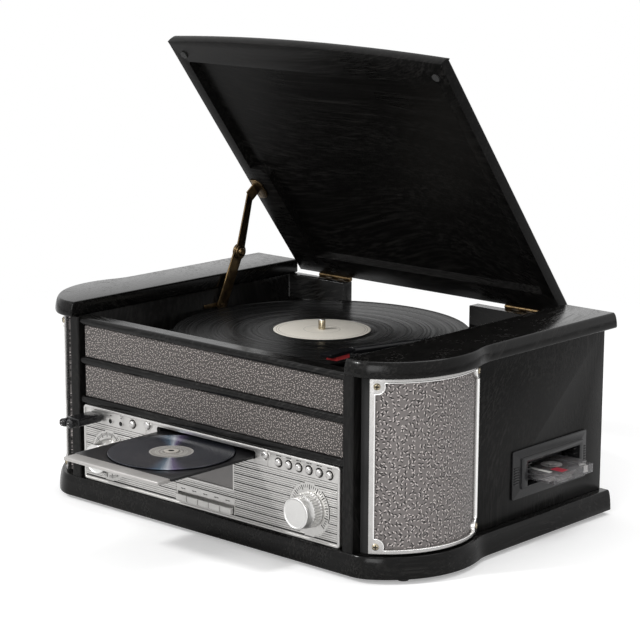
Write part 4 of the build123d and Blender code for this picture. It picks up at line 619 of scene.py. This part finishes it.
def nose_spot(run, inside):
    """Point in plan and the way out there, by distance along the frame's face and depth in the nose."""
    if run < CORNER_RUN:
        centre, full, angle = TIGHT, CORNER_R, radians(FRAME_START) + run / (CORNER_R - FRAME_SINK)
    else:
        centre, full, angle = WIDE, NOSE_R, radians(NOSE_TURN) + (run - CORNER_RUN) / (NOSE_R - FRAME_SINK)
    way = Vector((cos(angle), sin(angle)))
    return centre + way * (full - inside), way


def speaker_cloths():
    """Curved cloth of both speakers: a front and a back sheet, closed at the edges."""
    low, high = box_mm("speaker_grilles")
    rows = [low.z + (high.z - low.z) * index / CLOTH_ROWS for index in range(CLOTH_ROWS + 1)]
    bm = bmesh.new()
    runs = {}
    for side in (-1, 1):
        loops = []
        for index in range(CLOTH_COLUMNS + 1):
            run = NOSE_RUN * index / CLOTH_COLUMNS
            loop = []
            for inside, heights in zip(CLOTH_FACES, (rows, rows[::-1])):
                spot = nose_spot(run, inside)[0]
                loop += [bm.verts.new(Vector((side * spot.x, spot.y, z)) * MM) for z in heights]
            runs.update((vert, side * run * MM) for vert in loop)
            loops.append(loop)
        skin(bm, loops, closed=False)
        bm.faces.new(loops[0])
        bm.faces.new(loops[-1])
    sheet_uv(bm, lambda vert: (runs[vert], vert.co.z))
    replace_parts(piece("speaker_cloth_fronts", bm, speaker_cloth), "speaker_grilles")


def cloth_strips():
    """Two flat strips of cloth between the rails."""
    low, high = box_mm("grille_strips")
    bm = bmesh.new()
    for bottom in (low.z, high.z - STRIP_HEIGHT):
        block(bm, (low.x, low.y, bottom), (high.x, high.y, bottom + STRIP_HEIGHT), STRIP_ROUND)
    sheet_uv(bm, lambda vert: (vert.co.x, vert.co.z + vert.co.y))
    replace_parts(piece("cloth_strips", bm, strip_cloth), "grille_strips")


def frame_screws():
    """Domed cross-head screws in the lobes of the speaker frames, with dark bars of painted shade for their
    cross recesses.
    """
    heads, cross_shade = bmesh.new(), bmesh.new()
    for side in (-1, 1):
        for run in (LOBE_INSET, NOSE_RUN - LOBE_INSET):
            seat, way = nose_spot(run, FRAME_SINK)
            out = Vector((side * way.x, way.y, 0))
            for z in (FRAME_Z0 + LOBE_INSET, FRAME_Z1 - LOBE_INSET):
                at = Vector((side * seat.x, seat.y, z))
                lathe(heads, SCREW_DOME, at, out, 32)
                # painted shade of the cross recess
                for turn in CROSS_TURNS:
                    spin = Matrix.Rotation(radians(turn), 3, "Z")
                    turned_block(cross_shade, CROSS_BAR, at + out * CROSS_OUT, spin, facing(out))
    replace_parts(piece("frame_screw_heads", heads, screw_steel), "frame_screws")
    piece("frame_screw_cross_shade", cross_shade, painted_shade)


def window_path():
    """Edge of the frame's opening in (distance along, height): straight bars and a lobe per corner."""
    start = atan2(sqrt(LOBE_R**2 - (LOBE_INSET - FRAME_SIDE) ** 2), FRAME_SIDE - LOBE_INSET)
    end = atan2(FRAME_BAR - LOBE_INSET, sqrt(LOBE_R**2 - (LOBE_INSET - FRAME_BAR) ** 2))
    lobe = []
    for index in range(LOBE_STEPS + 1):
        angle = start + (end - start) * index / LOBE_STEPS
        lobe.append((LOBE_INSET + cos(angle) * LOBE_R, LOBE_INSET + sin(angle) * LOBE_R))
    points = []
    for far, high in ((False, False), (True, False), (True, True), (False, True)):
        for a, b in lobe if far == high else lobe[::-1]:
            points.append((NOSE_RUN - a if far else a, FRAME_Z1 - b if high else FRAME_Z0 + b))
    path = []
    for (a, z), (next_a, next_z) in zip(points, points[1:] + points[:1]):
        pieces = max(1, round((abs(next_a - a) + abs(next_z - z)) / PATH_STEP))
        path += [(a + (next_a - a) * i / pieces, z + (next_z - z) * i / pieces) for i in range(pieces)]
    return path


def frame_beads():
    """Bright bead round the opening of each speaker frame."""
    path = window_path()
    bm = bmesh.new()
    for side in (-1, 1):
        loops = []
        for index, (a, z) in enumerate(path):
            before, after = path[index - 1], path[(index + 1) % len(path)]
            along = Vector((after[0] - before[0], after[1] - before[1])).normalized()
            loop = []
            for across, proud in BEAD:
                spot = nose_spot(a - along.y * across, FRAME_SINK - proud)[0]
                loop.append(bm.verts.new(Vector((side * spot.x, spot.y, z + along.x * across)) * MM))
            loops.append(loop)
        skin(bm, loops)
    piece("frame_beads", bm, bead_metal, angle=BEAD_SHARP)


# ------------ faceplate
PLATE_LOW, PLATE_HIGH = box_mm("faceplate")
PLATE_Y = PLATE_LOW.y  # the plate's face
ROOT = 0.1  # what stands on the plate goes this deep into it
KNOB_X, KNOB_Z = 135.2, 55.2
DIAL_R = 25.6  # blank field round a knob
TRAY_HALF, TRAY_LOW = 38.4, 52.6  # blank field round the tray and the display
KEYS_HALF, KEYS_HIGH = 39.8, 46.2  # blank field round the keys
RIB_X, RIB_TOP, RIB_LOW, RIB_PITCH = 169.2, 85.2, 29.8, 2.07
RIB_PROUD, RIB_ROUND, RIB_SHORTEST = 0.42, 0.14, 1.0
FINE_GAP, DEEP_GAP, GROOVE_PROUD = 0.5, 1.0, 0.06
# the dark of each groove is painted shade on a sheet under the ribs, darker in the wide ones
DEEP_EVERY, DEEP_FIRST = 4, 2  # every fourth groove is a wide dark one, from the third row on

TRIM_INSET, TRIM_R = 0.2, 3.0
TRIM_PROFILE = [(0, -ROOT), (0, 0.35), (0.35, 0.7), (1.9, 0.7), (2.3, 0.35), (2.3, -ROOT)]
KEY_PANEL, KEY_PANEL_R = (-39.4, 39.4, 39.0, 46.0), 0.8  # raised panel over the keys: x0, x1, z0, z1
KEY_PANEL_PROFILE = [(0, -ROOT), (0, 0.3), (0.25, 0.5)]
# KEY_WELL marks a strip of painted shade in the recess behind the keys
KEY_PITCH, KEY_WELL_X, KEY_WELL_Z = 15.0, 38.0, (29.4, 36.4)
DIVIDER_X, DIVIDER_Z = 82.3, (85.4, 99.2)
END_BUTTON_X, END_BUTTON_Z = 79.5, 96.3
END_RIM = [(4.5, -ROOT), (4.5, 0.35), (4.75, 0.55), (5.15, 0.55), (5.4, 0.35), (5.4, -ROOT)]
# dark rings of painted shade in the gaps round the end buttons and the other buttons
END_GAP, BUTTON_GAP = band(3.9, 4.6, -ROOT, 0.08), band(3.6, 4.7, -ROOT, 0.08)
PRESETS = [middle_mm(f"preset_button_{number}") for number in range(1, 7)]
POWER = middle_mm("power_button")
JACKS_X, JACKS_Z = (-132.75, -117.65), 90.8
# dark disc of painted shade in each socket's hole
JACK_HOLE = [(0, 0), (2.3, 0), (2.3, 0.1), (0, 0.1)]

# printed dashes in place of words: x, z and each dash's width
DASHES = [(preset.x, 98.6, (3.4, 2.2)) for preset in PRESETS] + [
    (POWER.x, 99.4, (3.0, 2.0, 1.6)), (-132.7, 96.6, (2.2,)), (-117.6, 96.2, (1.8,)),
    (-153.5, 99.2, (4.0, 2.4)),
]
DASH_GAP, DASH_HALF, INK_PROUD = 0.7, 0.45, 0.05
KEY_DASHES, KEY_DASH_Z = ((-2.6, 0.4), (0.9, 2.9)), (41.6, 42.5)
KEY_INK_PROUD, KEY_INK_ROOT = 0.55, -0.3
# dark lines along the top and the foot of the ribbed field; the lower one is painted shade in a groove
PLATE_LINES, LINE_PROUD = ((85.25, 85.75), (28.6, 29.5)), 0.08

# ticks of a dial: inner and outer radius and half its width
BOLD_TICK, FINE_TICK, BOLD_EVERY = (18.8, 23.6, 0.5), (20.3, 23.2, 0.34), 4
ARC_PIECE, ARC_START, ARC_STEP, ARC_PIECES = (24.3, 25.3, 0.5), 40, 2, 36

FLUTES, FLUTE_STEPS, FLUTE_DEPTH, FLUTED = 34, 8, 0.8, (4, 5, 6)
FACE_RINGS, FACE_R, FACE_PITCH, FACE_HEIGHT, FACE_WAVE = 30, 12.6, 0.4, 18.83, 0.035
KNOB_PROFILE = [
    (0, 0), (16.7, 0), (17.0, 0.3), (17.0, 1.2), (16.7, 1.9), (16.5, 5.0), (16.2, 9.6), (15.6, 10.6),
    (15.3, 10.9), (15.0, 18.0), (14.9, 18.8), (14.6, 19.3), (14.1, 19.5), (13.6, 19.3), (13.3, 19.0),
    *(
        (FACE_R - FACE_PITCH * step, FACE_HEIGHT + (FACE_WAVE if step % 2 else -FACE_WAVE))
        for step in range(FACE_RINGS)
    ),
    (0, 18.8),
]
KNOB_CLEAR, KNOB_SHARP = 0.3, 50.0
SHAFT, SHAFT_BACK = [(0, 0.0), (3.0, 0.0), (3.0, 11.9), (0, 11.9)], 11.7


def on_plate(bm, x_span, z_span, proud, width=0.0, segments=2, root=ROOT):
    """Box on the faceplate that stands proud of its face."""
    (x0, x1), (z0, z1) = x_span, z_span
    block(bm, (x0, PLATE_Y - proud, z0), (x1, PLATE_Y + root, z1), width, segments)


def rib_runs(z):
    """Spans of X that the ribs fill at one height."""
    runs = [(-RIB_X, RIB_X)]
    holes = []
    if z > TRAY_LOW:
        holes.append((-TRAY_HALF, TRAY_HALF))
    if z < KEYS_HIGH:
        holes.append((-KEYS_HALF, KEYS_HALF))
    if abs(z - KNOB_Z) < DIAL_R:
        half = sqrt(DIAL_R**2 - (z - KNOB_Z) ** 2)
        holes += [(-KNOB_X - half, -KNOB_X + half), (KNOB_X - half, KNOB_X + half)]
    for low, high in holes:
        cut = []
        for start, end in runs:
            if low > start:
                cut.append((start, min(end, low)))
            if high < end:
                cut.append((max(start, high), end))
        runs = [(start, end) for start, end in cut if end - start > RIB_SHORTEST]
    return runs


def faceplate_ribs():
    """Fine horizontal ribs with a groove under each one, its dark a sheet of painted shade, left out round
    the dials, tray and keys.
    """
    ribs, fine, deep = bmesh.new(), bmesh.new(), bmesh.new()
    for row in range(int((RIB_TOP - RIB_LOW) / RIB_PITCH) + 1):
        top = RIB_TOP - row * RIB_PITCH
        low = top - RIB_PITCH
        wide = row % DEEP_EVERY == DEEP_FIRST
        gap = DEEP_GAP if wide else FINE_GAP
        for run in rib_runs(top - RIB_PITCH / 2):
            on_plate(ribs, run, (low + gap, top), RIB_PROUD, RIB_ROUND, 1)
            # sheet of painted shade under the rib, seen in its groove
            on_plate(deep if wide else fine, run, (low, low + gap + ROOT), GROOVE_PROUD)
    piece("faceplate_ribs", ribs, silver_paint)
    piece("faceplate_groove_shade", fine, fine_groove_shade)
    piece("faceplate_deep_groove_shade", deep, painted_shade)


def outline(x0, x1, z0, z1, inset, radius, steps=6):
    """Rounded rectangle of (x, z) points, a distance inside its box."""
    bend = max(radius - inset, 0.05)
    left, right, low, high = x0 + inset + bend, x1 - inset - bend, z0 + inset + bend, z1 - inset - bend
    spots = []
    for x, z, start in ((right, high, 0), (left, high, 90), (left, low, 180), (right, low, 270)):
        for step in range(steps + 1):
            angle = radians(start + 90 * step / steps)
            spots.append((x + cos(angle) * bend, z + sin(angle) * bend))
    return spots


def moulded(bm, box, radius, profile, panel=False):
    """Strip on the plate round a box of x0, x1, z0, z1; a panel is filled. profile is (inset, height)."""
    loops = []
    for inset, proud in profile:
        spots = outline(*box, inset, radius)
        loops.append([bm.verts.new(Vector((x, PLATE_Y - proud, z)) * MM) for x, z in spots])
    skin(bm, loops, closed=not panel)
    if panel:
        bm.faces.new(loops[-1])
        bm.faces.new(loops[0])


def faceplate_trim():
    """Raised border, panel over the keys, dividers, the rims round the buttons, and painted shade in the
    gaps round the buttons, in the sockets and behind the keys.
    """
    trim, gap_shade = bmesh.new(), bmesh.new()
    (x0, _, z0), (x1, _, z1) = PLATE_LOW, PLATE_HIGH
    border = (x0 + TRIM_INSET, x1 - TRIM_INSET, z0 + TRIM_INSET, z1 - TRIM_INSET)
    moulded(trim, border, TRIM_R, TRIM_PROFILE)
    moulded(trim, KEY_PANEL, KEY_PANEL_R, KEY_PANEL_PROFILE, panel=True)
    for side in (-1, 1):
        middle = side * DIVIDER_X
        on_plate(trim, (middle - 0.35, middle + 0.35), DIVIDER_Z, 0.5, 0.15)
        at = (side * END_BUTTON_X, PLATE_Y, END_BUTTON_Z)
        hoop(trim, END_RIM, at, FORWARD)
        hoop(gap_shade, END_GAP, at, FORWARD)
    # painted shade in the gaps round the preset and power buttons
    for button in (*PRESETS, POWER):
        hoop(gap_shade, BUTTON_GAP, (button.x, PLATE_Y, button.z), FORWARD)
    # painted shade in the sockets' holes
    for x in JACKS_X:
        lathe(gap_shade, JACK_HOLE, (x, box_mm("front_sockets")[0].y, JACKS_Z), FORWARD, 28)
    # strip of painted shade in the well behind the keys
    on_plate(gap_shade, (-KEY_WELL_X, KEY_WELL_X), KEY_WELL_Z, 0.12)
    piece("faceplate_trim", trim, silver_paint)
    piece("painted_shade_gaps", gap_shade, painted_shade)


def faceplate_marks():
    """Dark lines above and below the ribbed field, the lower one painted shade in the groove along it, and
    dashes where the real plate has words.
    """
    marks = bmesh.new()
    for span in PLATE_LINES:
        on_plate(marks, (-RIB_X, RIB_X), span, LINE_PROUD)
    for x, z, words in DASHES:
        left = x - (sum(words) + DASH_GAP * (len(words) - 1)) / 2
        for word in words:
            on_plate(marks, (left, left + word), (z - DASH_HALF, z + DASH_HALF), INK_PROUD)
            left += word + DASH_GAP
    for index in range(-2, 3):
        for start, end in KEY_DASHES:
            x = index * KEY_PITCH
            on_plate(marks, (x + start, x + end), KEY_DASH_Z, KEY_INK_PROUD, root=KEY_INK_ROOT)
    piece("faceplate_marks", marks, print_ink)


def dial(name, x, first, last, step):
    """Printed scale round a knob, by the clock from its top: ticks, and a heavy arc at its right."""
    ticks = [
        (first + step * index, FINE_TICK if index % BOLD_EVERY else BOLD_TICK)
        for index in range(int((last - first) / step) + 1)
    ]
    ticks += [(ARC_START + ARC_STEP * index, ARC_PIECE) for index in range(ARC_PIECES)]
    bm = bmesh.new()
    for clock, (inner, outer, half) in ticks:
        angle = radians(90 - clock)
        reach = (inner + outer) / 2
        spot = (x + cos(angle) * reach, PLATE_Y + (ROOT - INK_PROUD) / 2, KNOB_Z + sin(angle) * reach)
        turned_block(bm, (outer - inner, ROOT + INK_PROUD, 2 * half), spot, Matrix.Rotation(-angle, 3, "Y"))
    piece(name, bm, print_ink)


def dials():
    dial("volume_scale", KNOB_X, -130, 130, 6.5)
    dial("tuning_scale", -KNOB_X, -170, 180, 5)


def flute(index, step):
    """Depth of the knob's flutes, on three points of its profile."""
    return -FLUTE_DEPTH * abs(sin(pi * step / FLUTE_STEPS)) ** 4 if index in FLUTED else 0.0


def knobs():
    """Fluted knobs with fine rings on the face."""
    for node, x in (("volume_knob", KNOB_X), ("tuning_knob", -KNOB_X)):
        bm = bmesh.new()
        lathe(bm, KNOB_PROFILE, (x, PLATE_Y - KNOB_CLEAR, KNOB_Z), FORWARD, FLUTES * FLUTE_STEPS, flute)
        lathe(bm, SHAFT, (x, PLATE_Y + SHAFT_BACK, KNOB_Z), FORWARD, 24)
        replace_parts(piece(node + "_turned", bm, silver_knob, node, KNOB_SHARP), node)


# ------------ USB stick
LOBE_LENGTH, LOBE_SPLIT, LOBE_ROUND = 9.0, 0.45, 2.8  # two rounded lobes at the stick's end
GRIP_GAP, GRIP_ROUND = 0.4, 1.8
NECK_INSET, NECK_Y = 0.8, (4, 14)  # neck between lobes and grip, from the end
PLUG_HALF_X, PLUG_HALF_Z = 6, 2.2
EYE = band(1.3, 1.8, -0.3, 0.0)


def usb_stick():
    """Stick with two lobes at its end, a ring in each lobe, and its plug in the socket."""
    low, high = box_mm("usb_stick")
    middle = (low + high) / 2
    inset = Vector((NECK_INSET, 0, NECK_INSET))
    bm, eyes = bmesh.new(), bmesh.new()
    grip_end = low.y + LOBE_LENGTH + GRIP_GAP
    block(bm, (low.x, grip_end, low.z), (high.x, PLATE_Y - 0.8, high.z), GRIP_ROUND, 4)
    neck_low, neck_high = low + inset, high - inset
    neck_low.y, neck_high.y = (low.y + reach for reach in NECK_Y)
    block(bm, neck_low, neck_high, 0.5)
    plug_low = (middle.x - PLUG_HALF_X, PLATE_Y - 3, middle.z - PLUG_HALF_Z)
    block(bm, plug_low, (middle.x + PLUG_HALF_X, high.y, middle.z + PLUG_HALF_Z), 0.2)
    for low_x, high_x in ((low.x, middle.x - LOBE_SPLIT), (middle.x + LOBE_SPLIT, high.x)):
        block(bm, (low_x, low.y, low.z), (high_x, low.y + LOBE_LENGTH, high.z), LOBE_ROUND, 5)
        hoop(eyes, EYE, ((low_x + high_x) / 2, low.y, middle.z), FORWARD, 28)
    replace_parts(piece("usb_stick_body", bm, gloss_plastic, "usb_stick"), "usb_stick")
    piece("usb_stick_eyes", eyes, silver_trim, "usb_stick")


# ------------ cassette bezel
BEZEL_RIB_X, BEZEL_RIBS_Y = (234.2, 235.3), ((14.6, 23.4), (126.2, 131.2))
BEZEL_RIB_Z, BEZEL_RIB_PITCH, BEZEL_RIB_HIGH, BEZEL_RIBS = 59.0, 2.6, 1.3, 7


def bezel_ribs():
    """Short grip ribs at both ends of the cassette opening."""
    bm = bmesh.new()
    for low_y, high_y in BEZEL_RIBS_Y:
        for step in range(BEZEL_RIBS):
            z = BEZEL_RIB_Z + BEZEL_RIB_PITCH * step
            block(bm, (BEZEL_RIB_X[0], low_y, z), (BEZEL_RIB_X[1], high_y, z + BEZEL_RIB_HIGH), 0.3)
    piece("bezel_ribs", bm, bezel_plastic)


# ------------ screws at the back
HINGE_X, HINGE_Y, HINGE_Z, SCREW_PITCH = 128.0, 166.5, 192.0, 15.0  # pins of the two hinges
LEAF_T, LEAF_MID = 0.55, 7.1
WALL_BACK, LID_BACK = 2.5, 3.0  # pin to the back panel's face, and to the lid's rear face
LID_OPEN = radians(52.6)
LID_OUT = Vector((0, cos(LID_OPEN), -sin(LID_OPEN)))
LID_UP = Vector((0, sin(LID_OPEN), cos(LID_OPEN)))
LOW_HEAD = [(0, -0.2), (2.2, -0.2), (2.2, 0.15), (1.7, 0.45), (0.9, 0.55), (0.5, 0.35), (0, 0.3)]
PANEL_SCREWS = [(x, 33.0) for x in (-222, -111, 0, 111, 222)]
PANEL_SCREWS += [(x, z) for x in (-222, 222) for z in (106.0, 180.0)]


def rear_screws():
    """Low screws in the hinge leaves and round the back panel."""
    fixed, moving, panel = bmesh.new(), bmesh.new(), bmesh.new()
    for side in (-1, 1):
        for step in (-1, 0, 1):
            pin = Vector((side * HINGE_X + step * SCREW_PITCH, HINGE_Y, HINGE_Z))
            lathe(fixed, LOW_HEAD, pin - BACK * (WALL_BACK - LEAF_T) - UP * LEAF_MID, BACK, 28)
            lathe(moving, LOW_HEAD, pin - LID_OUT * (LID_BACK - LEAF_T) + LID_UP * LEAF_MID, LID_OUT, 28)
    for x, z in PANEL_SCREWS:
        lathe(panel, LOW_HEAD, (x, box_mm("side_panels")[1].y, z), BACK, 28)
    piece("hinge_screws_fixed", fixed, old_brass)
    piece("hinge_screws_lid", moving, old_brass, "lid")
    piece("back_panel_screws", panel, screw_steel)


# ------------ rear sockets
SOCKETS_X, RED_Z, WHITE_Z = (-78.0, -60.0, -42.0), 53.0, 71.0
BARREL = [(3.3, -0.4), (3.3, 0.2), (3.9, 0.2), (4.05, 0.0), (4.05, -7.3), (3.6, -7.3)]
INSERT = band(2.05, 3.3, -0.4, 0.1)


def rear_sockets():
    """Metal barrels of the sound sockets, with a red or white insert in each."""
    face = box_mm("rear_connectors")[1].y
    barrels, reds, whites = bmesh.new(), bmesh.new(), bmesh.new()
    for x in SOCKETS_X:
        for z, inserts in ((RED_Z, reds), (WHITE_Z, whites)):
            hoop(barrels, BARREL, (x, face, z), BACK)
            hoop(inserts, INSERT, (x, face, z), BACK)
    piece("rear_barrels", barrels, steel)
    piece("rear_inserts_red", reds, stylus_red)
    piece("rear_inserts_white", whites, white_plastic)


# ------------ record
HOLE_R = 3.6
TRACKS = (146.0, 129.0, 112.5, 96.0, 80.5, 64.0)  # radii where the record's tracks part
TRACK_TOP, TRACK_GAP = 1.50, 1.42
RECORD_EDGE = [
    (HOLE_R, 0.0), (149.6, 0.0), (151.0, 0.55), (151.0, 1.35), (150.3, 1.9), (149.2, 1.9), (147.6, 1.45),
    (146.2, TRACK_GAP),
]
RECORD_INNER = [
    (62.5, 1.46), (57.5, 1.46), (57.1, 1.40), (56.5, 1.46), (51.2, 1.50), (50.6, 1.62), (50.2, 1.86),
    (49.0, 1.9), (HOLE_R, 1.9),
]
LABEL = [(HOLE_R, 1.8), (49.2, 1.8), (49.6, 2.0), (49.4, 2.12), (HOLE_R, 2.12)]
SLEEVE = [(0, 0), (3.65, 0), (3.65, 9.4), (3.2, 10.2), (2.4, 10.35), (0, 10.35)]
SLEEVE_Z = 172.4


def record():
    """Record with a raised edge and five tracks, its label, and the sleeve on the spindle."""
    x, y = RECORD_MIDDLE.xy
    bottom = (x, y, box_mm("record")[0].z)
    profile = list(RECORD_EDGE)
    for outer, inner in zip(TRACKS, TRACKS[1:]):
        profile += [(outer - 0.4, TRACK_TOP), (inner + 1.3, TRACK_TOP)]
        profile += [(inner + 1.1, TRACK_GAP), (inner + 0.2, TRACK_GAP)]
    pressed, label, sleeve = bmesh.new(), bmesh.new(), bmesh.new()
    hoop(pressed, profile + RECORD_INNER, bottom, steps=180)
    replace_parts(piece("record_pressed", pressed, vinyl, "platter", 12), "record")
    hoop(label, LABEL, bottom, steps=144)
    piece("record_label", label, label_paper, "platter")
    lathe(sleeve, SLEEVE, (x, y, SLEEVE_Z))
    piece("spindle_sleeve", sleeve, sleeve_brass, "platter")


# ------------ disc
DISC = [
    (7.5, 0.0), (59.7, 0.0), (60.0, 0.3), (60.0, 0.9), (59.7, 1.2), (18.2, 1.2), (17.8, 1.13), (17.2, 1.13),
    (16.8, 1.2), (7.8, 1.2), (7.5, 0.9),
]
HUB_CAP = [(0, 0.0), (7.45, 0.0), (7.45, 0.7), (6.9, 1.05), (3.2, 1.05), (2.8, 0.9), (0, 0.9)]
CAP_UP = 1.3


def disc():
    """Disc with its stacking ring, and the pale cap of the tray's hub."""
    x, y = DISC_MIDDLE.xy
    z = box_mm("compact_disc")[0].z
    pressed, cap = bmesh.new(), bmesh.new()
    hoop(pressed, DISC, (x, y, z), steps=160)
    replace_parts(piece("disc_pressed", pressed, mirror_disc, "disc", 20), "compact_disc")
    lathe(cap, HUB_CAP, (x, y, z + CAP_UP))
    piece("tray_hub_cap", cap, hub_plastic, "tray")


# ------------ cassette
SHELL_Z = 57.0  # bottom of the shell's thin part
HUB_APART, HUB_BACK = 21.25, 3.0  # from the shell's middle
HUB = [(6.0, 1.3), (6.0, 7.4), (10.4, 7.4), (10.8, 7.0), (10.8, 1.7), (10.4, 1.3)]
TEETH, TOOTH, TOOTH_R, TOOTH_Z, TOOTH_TURN = 6, (2.0, 1.1, 5.4), 5.1, 4.35, 15
TAPE_Z, TAPE_INNER, TAPE_OUTER = (2.4, 6.2), 10.9, (23.0, 16.5)  # the left pack is the fuller one
ROLLER_INSET, ROLLER_BACK = 6.5, 9.0
ROLLER = [(0, 1.4), (3.4, 1.4), (3.6, 2.2), (3.0, 2.6), (3.0, 6.0), (3.6, 6.4), (3.4, 7.3), (0, 7.3)]
TAPE_RUN_Y = (5.6, 5.35)  # tape across the head opening, from the rear edge
LABEL_Z = (8.65, 8.82)
WHITE_LABEL_X, WHITE_LABEL_Y = (9.0, 10.5), (6.5, 11.5)
RED_LABEL_X, RED_LABEL_Y = (3.5, 17.5), (17.0, 27.5)


def cassette():
    """Hubs, tape, rollers and paper labels in and on the clear shell."""
    (x0, y0, _), (x1, y1, _) = box_mm("cassette")
    hubs, tape, rollers, white, red = (bmesh.new() for _ in range(5))
    for side, pack_r in zip((-1, 1), TAPE_OUTER):
        x, y = (x0 + x1) / 2 + side * HUB_APART, (y0 + y1) / 2 + HUB_BACK
        hoop(hubs, HUB, (x, y, SHELL_Z), steps=60)
        for tooth in range(TEETH):
            angle = radians(360 * tooth / TEETH + TOOTH_TURN)
            spot = (x + cos(angle) * TOOTH_R, y + sin(angle) * TOOTH_R, SHELL_Z + TOOTH_Z)
            turned_block(hubs, TOOTH, spot, Matrix.Rotation(angle, 3, "Z"))
        hoop(tape, band(TAPE_INNER, pack_r, *TAPE_Z), (x, y, SHELL_Z), steps=80)
    left, right = x0 + ROLLER_INSET, x1 - ROLLER_INSET
    for x in (left, right):
        lathe(rollers, ROLLER, (x, y1 - ROLLER_BACK, SHELL_Z), steps=32)
    run_low, run_high = (y1 - inset for inset in TAPE_RUN_Y)
    block(tape, (left, run_low, SHELL_Z + TAPE_Z[0]), (right, run_high, SHELL_Z + TAPE_Z[1]))

    def label(bm, low_x, high_x, y_span):
        low_y, high_y = (y0 + reach for reach in y_span)
        low_z, high_z = (SHELL_Z + height for height in LABEL_Z)
        block(bm, (low_x, low_y, low_z), (high_x, high_y, high_z), 0.05, 1)

    label(white, x0 + WHITE_LABEL_X[0], x1 - WHITE_LABEL_X[1], WHITE_LABEL_Y)
    near, far = RED_LABEL_X
    label(red, x1 - far, x1 - near, RED_LABEL_Y)
    label(red, x0 + near, x0 + far, RED_LABEL_Y)
    for name, bm, material in (
        ("hubs", hubs, white_plastic), ("packs", tape, tape_brown), ("rollers", rollers, white_plastic),
        ("label_white", white, white_paper), ("label_red", red, red_paper),
    ):
        piece("tape_" + name, bm, material, "cassette")


# ------------ camera, fitted to the photograph
CAMERA_AT = Vector((1.43361, -1.59304, 0.64298))
CAMERA_AZ, CAMERA_EL, CAMERA_ROLL = radians(41.998), radians(11.988), radians(0.281)
LENS, SENSOR = 123.02, 36.0


def place_camera():
    camera = link("camera", bpy.data.cameras.new("camera"))
    camera.data.lens = LENS
    camera.data.sensor_width = SENSOR
    camera.data.clip_start, camera.data.clip_end = 0.05, 200.0
    turned = Matrix.Rotation(CAMERA_AZ, 4, "Z") @ Matrix.Rotation(pi / 2 - CAMERA_EL, 4, "X")
    camera.matrix_world = Matrix.Translation(CAMERA_AT) @ turned @ Matrix.Rotation(CAMERA_ROLL, 4, "Z")
    bpy.context.scene.camera = camera


# ------------ floor, world and lamps
FLOOR_HALF, FLOOR_DROP = 40.0, 0.0002
FLOOR_TONE, FLOOR_GLOW = (0.86, 0.86, 0.86), 0.30
PURE_WHITE_FROM, PURE_WHITE_AT = 0.45, 1.1  # metres from the origin
WORLD_STRENGTH = 0.36
LAMP_AIM = Vector((0, 0, 0.12))
LAMPS = (
    # name, place, size, power
    ("key", (-1.1, -2.0, 2.0), 0.3, 46.0),
    ("front", (1.2, -2.4, 1.1), 1.2, 26.0),
    ("top", (0.2, 0.6, 2.4), 1.6, 30.0),
)


def floor_material():
    """White paper; to the camera it glows a little, and fades to pure white away from the object."""
    s = Shader("floor_paper", Roughness=0.9, Specular_IOR_Level=0.1)
    s.colour(FLOOR_TONE)
    plain = s.bsdf.outputs[0]
    glow = s.node("Emission", {"Color": WHITE, "Strength": FLOOR_GLOW})
    pure = s.node("Emission", {"Color": WHITE, "Strength": 1.0})
    reach = s.node("VectorMath", {0: s.place()}, "Value", operation="LENGTH")
    glowing = s.node("AddShader", {0: plain, 1: glow})
    fading = s.node("MixShader", {0: s.span(reach, PURE_WHITE_FROM, PURE_WHITE_AT), 1: glowing, 2: pure})
    to_camera = s.node("LightPath", {}, "Is Camera Ray")
    seen = s.node("MixShader", {0: to_camera, 1: plain, 2: fading})
    s.put(s.tree.nodes["Material Output"].inputs["Surface"], seen)
    return s.material


def lay_floor():
    bm = bmesh.new()
    bmesh.ops.create_grid(bm, x_segments=8, y_segments=8, size=FLOOR_HALF)
    mesh = bpy.data.meshes.new("floor")
    bm.to_mesh(mesh)
    bm.free()
    floor = link("floor", mesh)
    floor.location.z = -FLOOR_DROP
    mesh.materials.append(floor_material())


def light_world():
    """Dim white light, which the camera, gloss and glass see as pure white."""
    world = bpy.data.worlds.new("studio")
    bpy.context.scene.world = world
    world.use_nodes = True
    sky = Nodes(world.node_tree)
    sky.tree.nodes.clear()
    rays = sky.node("LightPath", {}).node.outputs
    mirrored = sky.sums("MAXIMUM", rays["Is Glossy Ray"], rays["Is Transmission Ray"])
    shown = sky.sums("MAXIMUM", rays["Is Camera Ray"], mirrored)
    dim = sky.node("Background", {"Color": WHITE, "Strength": WORLD_STRENGTH})
    pure = sky.node("Background", {"Color": WHITE, "Strength": 1.0})
    either = sky.node("MixShader", {0: shown, 1: dim, 2: pure})
    sky.put(sky.tree.nodes.new("ShaderNodeOutputWorld").inputs["Surface"], either)


def hang_lamps():
    for name, place, size, power in LAMPS:
        light = bpy.data.lights.new(name, "AREA")
        light.shape = "SQUARE"
        light.size = size
        light.energy = power
        lamp = link(name, light)
        lamp.location = place
        lamp.rotation_mode = "QUATERNION"
        lamp.rotation_quaternion = (LAMP_AIM - Vector(place)).to_track_quat("-Z", "Y")


# ------------ all of it
for slot, widths in EASED.items():
    for node, width in widths.items():
        eased(node, width)
for build in (
    speaker_cloths, cloth_strips, frame_screws, frame_beads, faceplate_ribs, faceplate_trim, faceplate_marks,
    dials, knobs, usb_stick, bezel_ribs, rear_screws, rear_sockets, record, disc, cassette,
    place_camera, lay_floor, light_world, hang_lamps,
):
    build()

bpy.context.scene.view_settings.view_transform = "Standard"
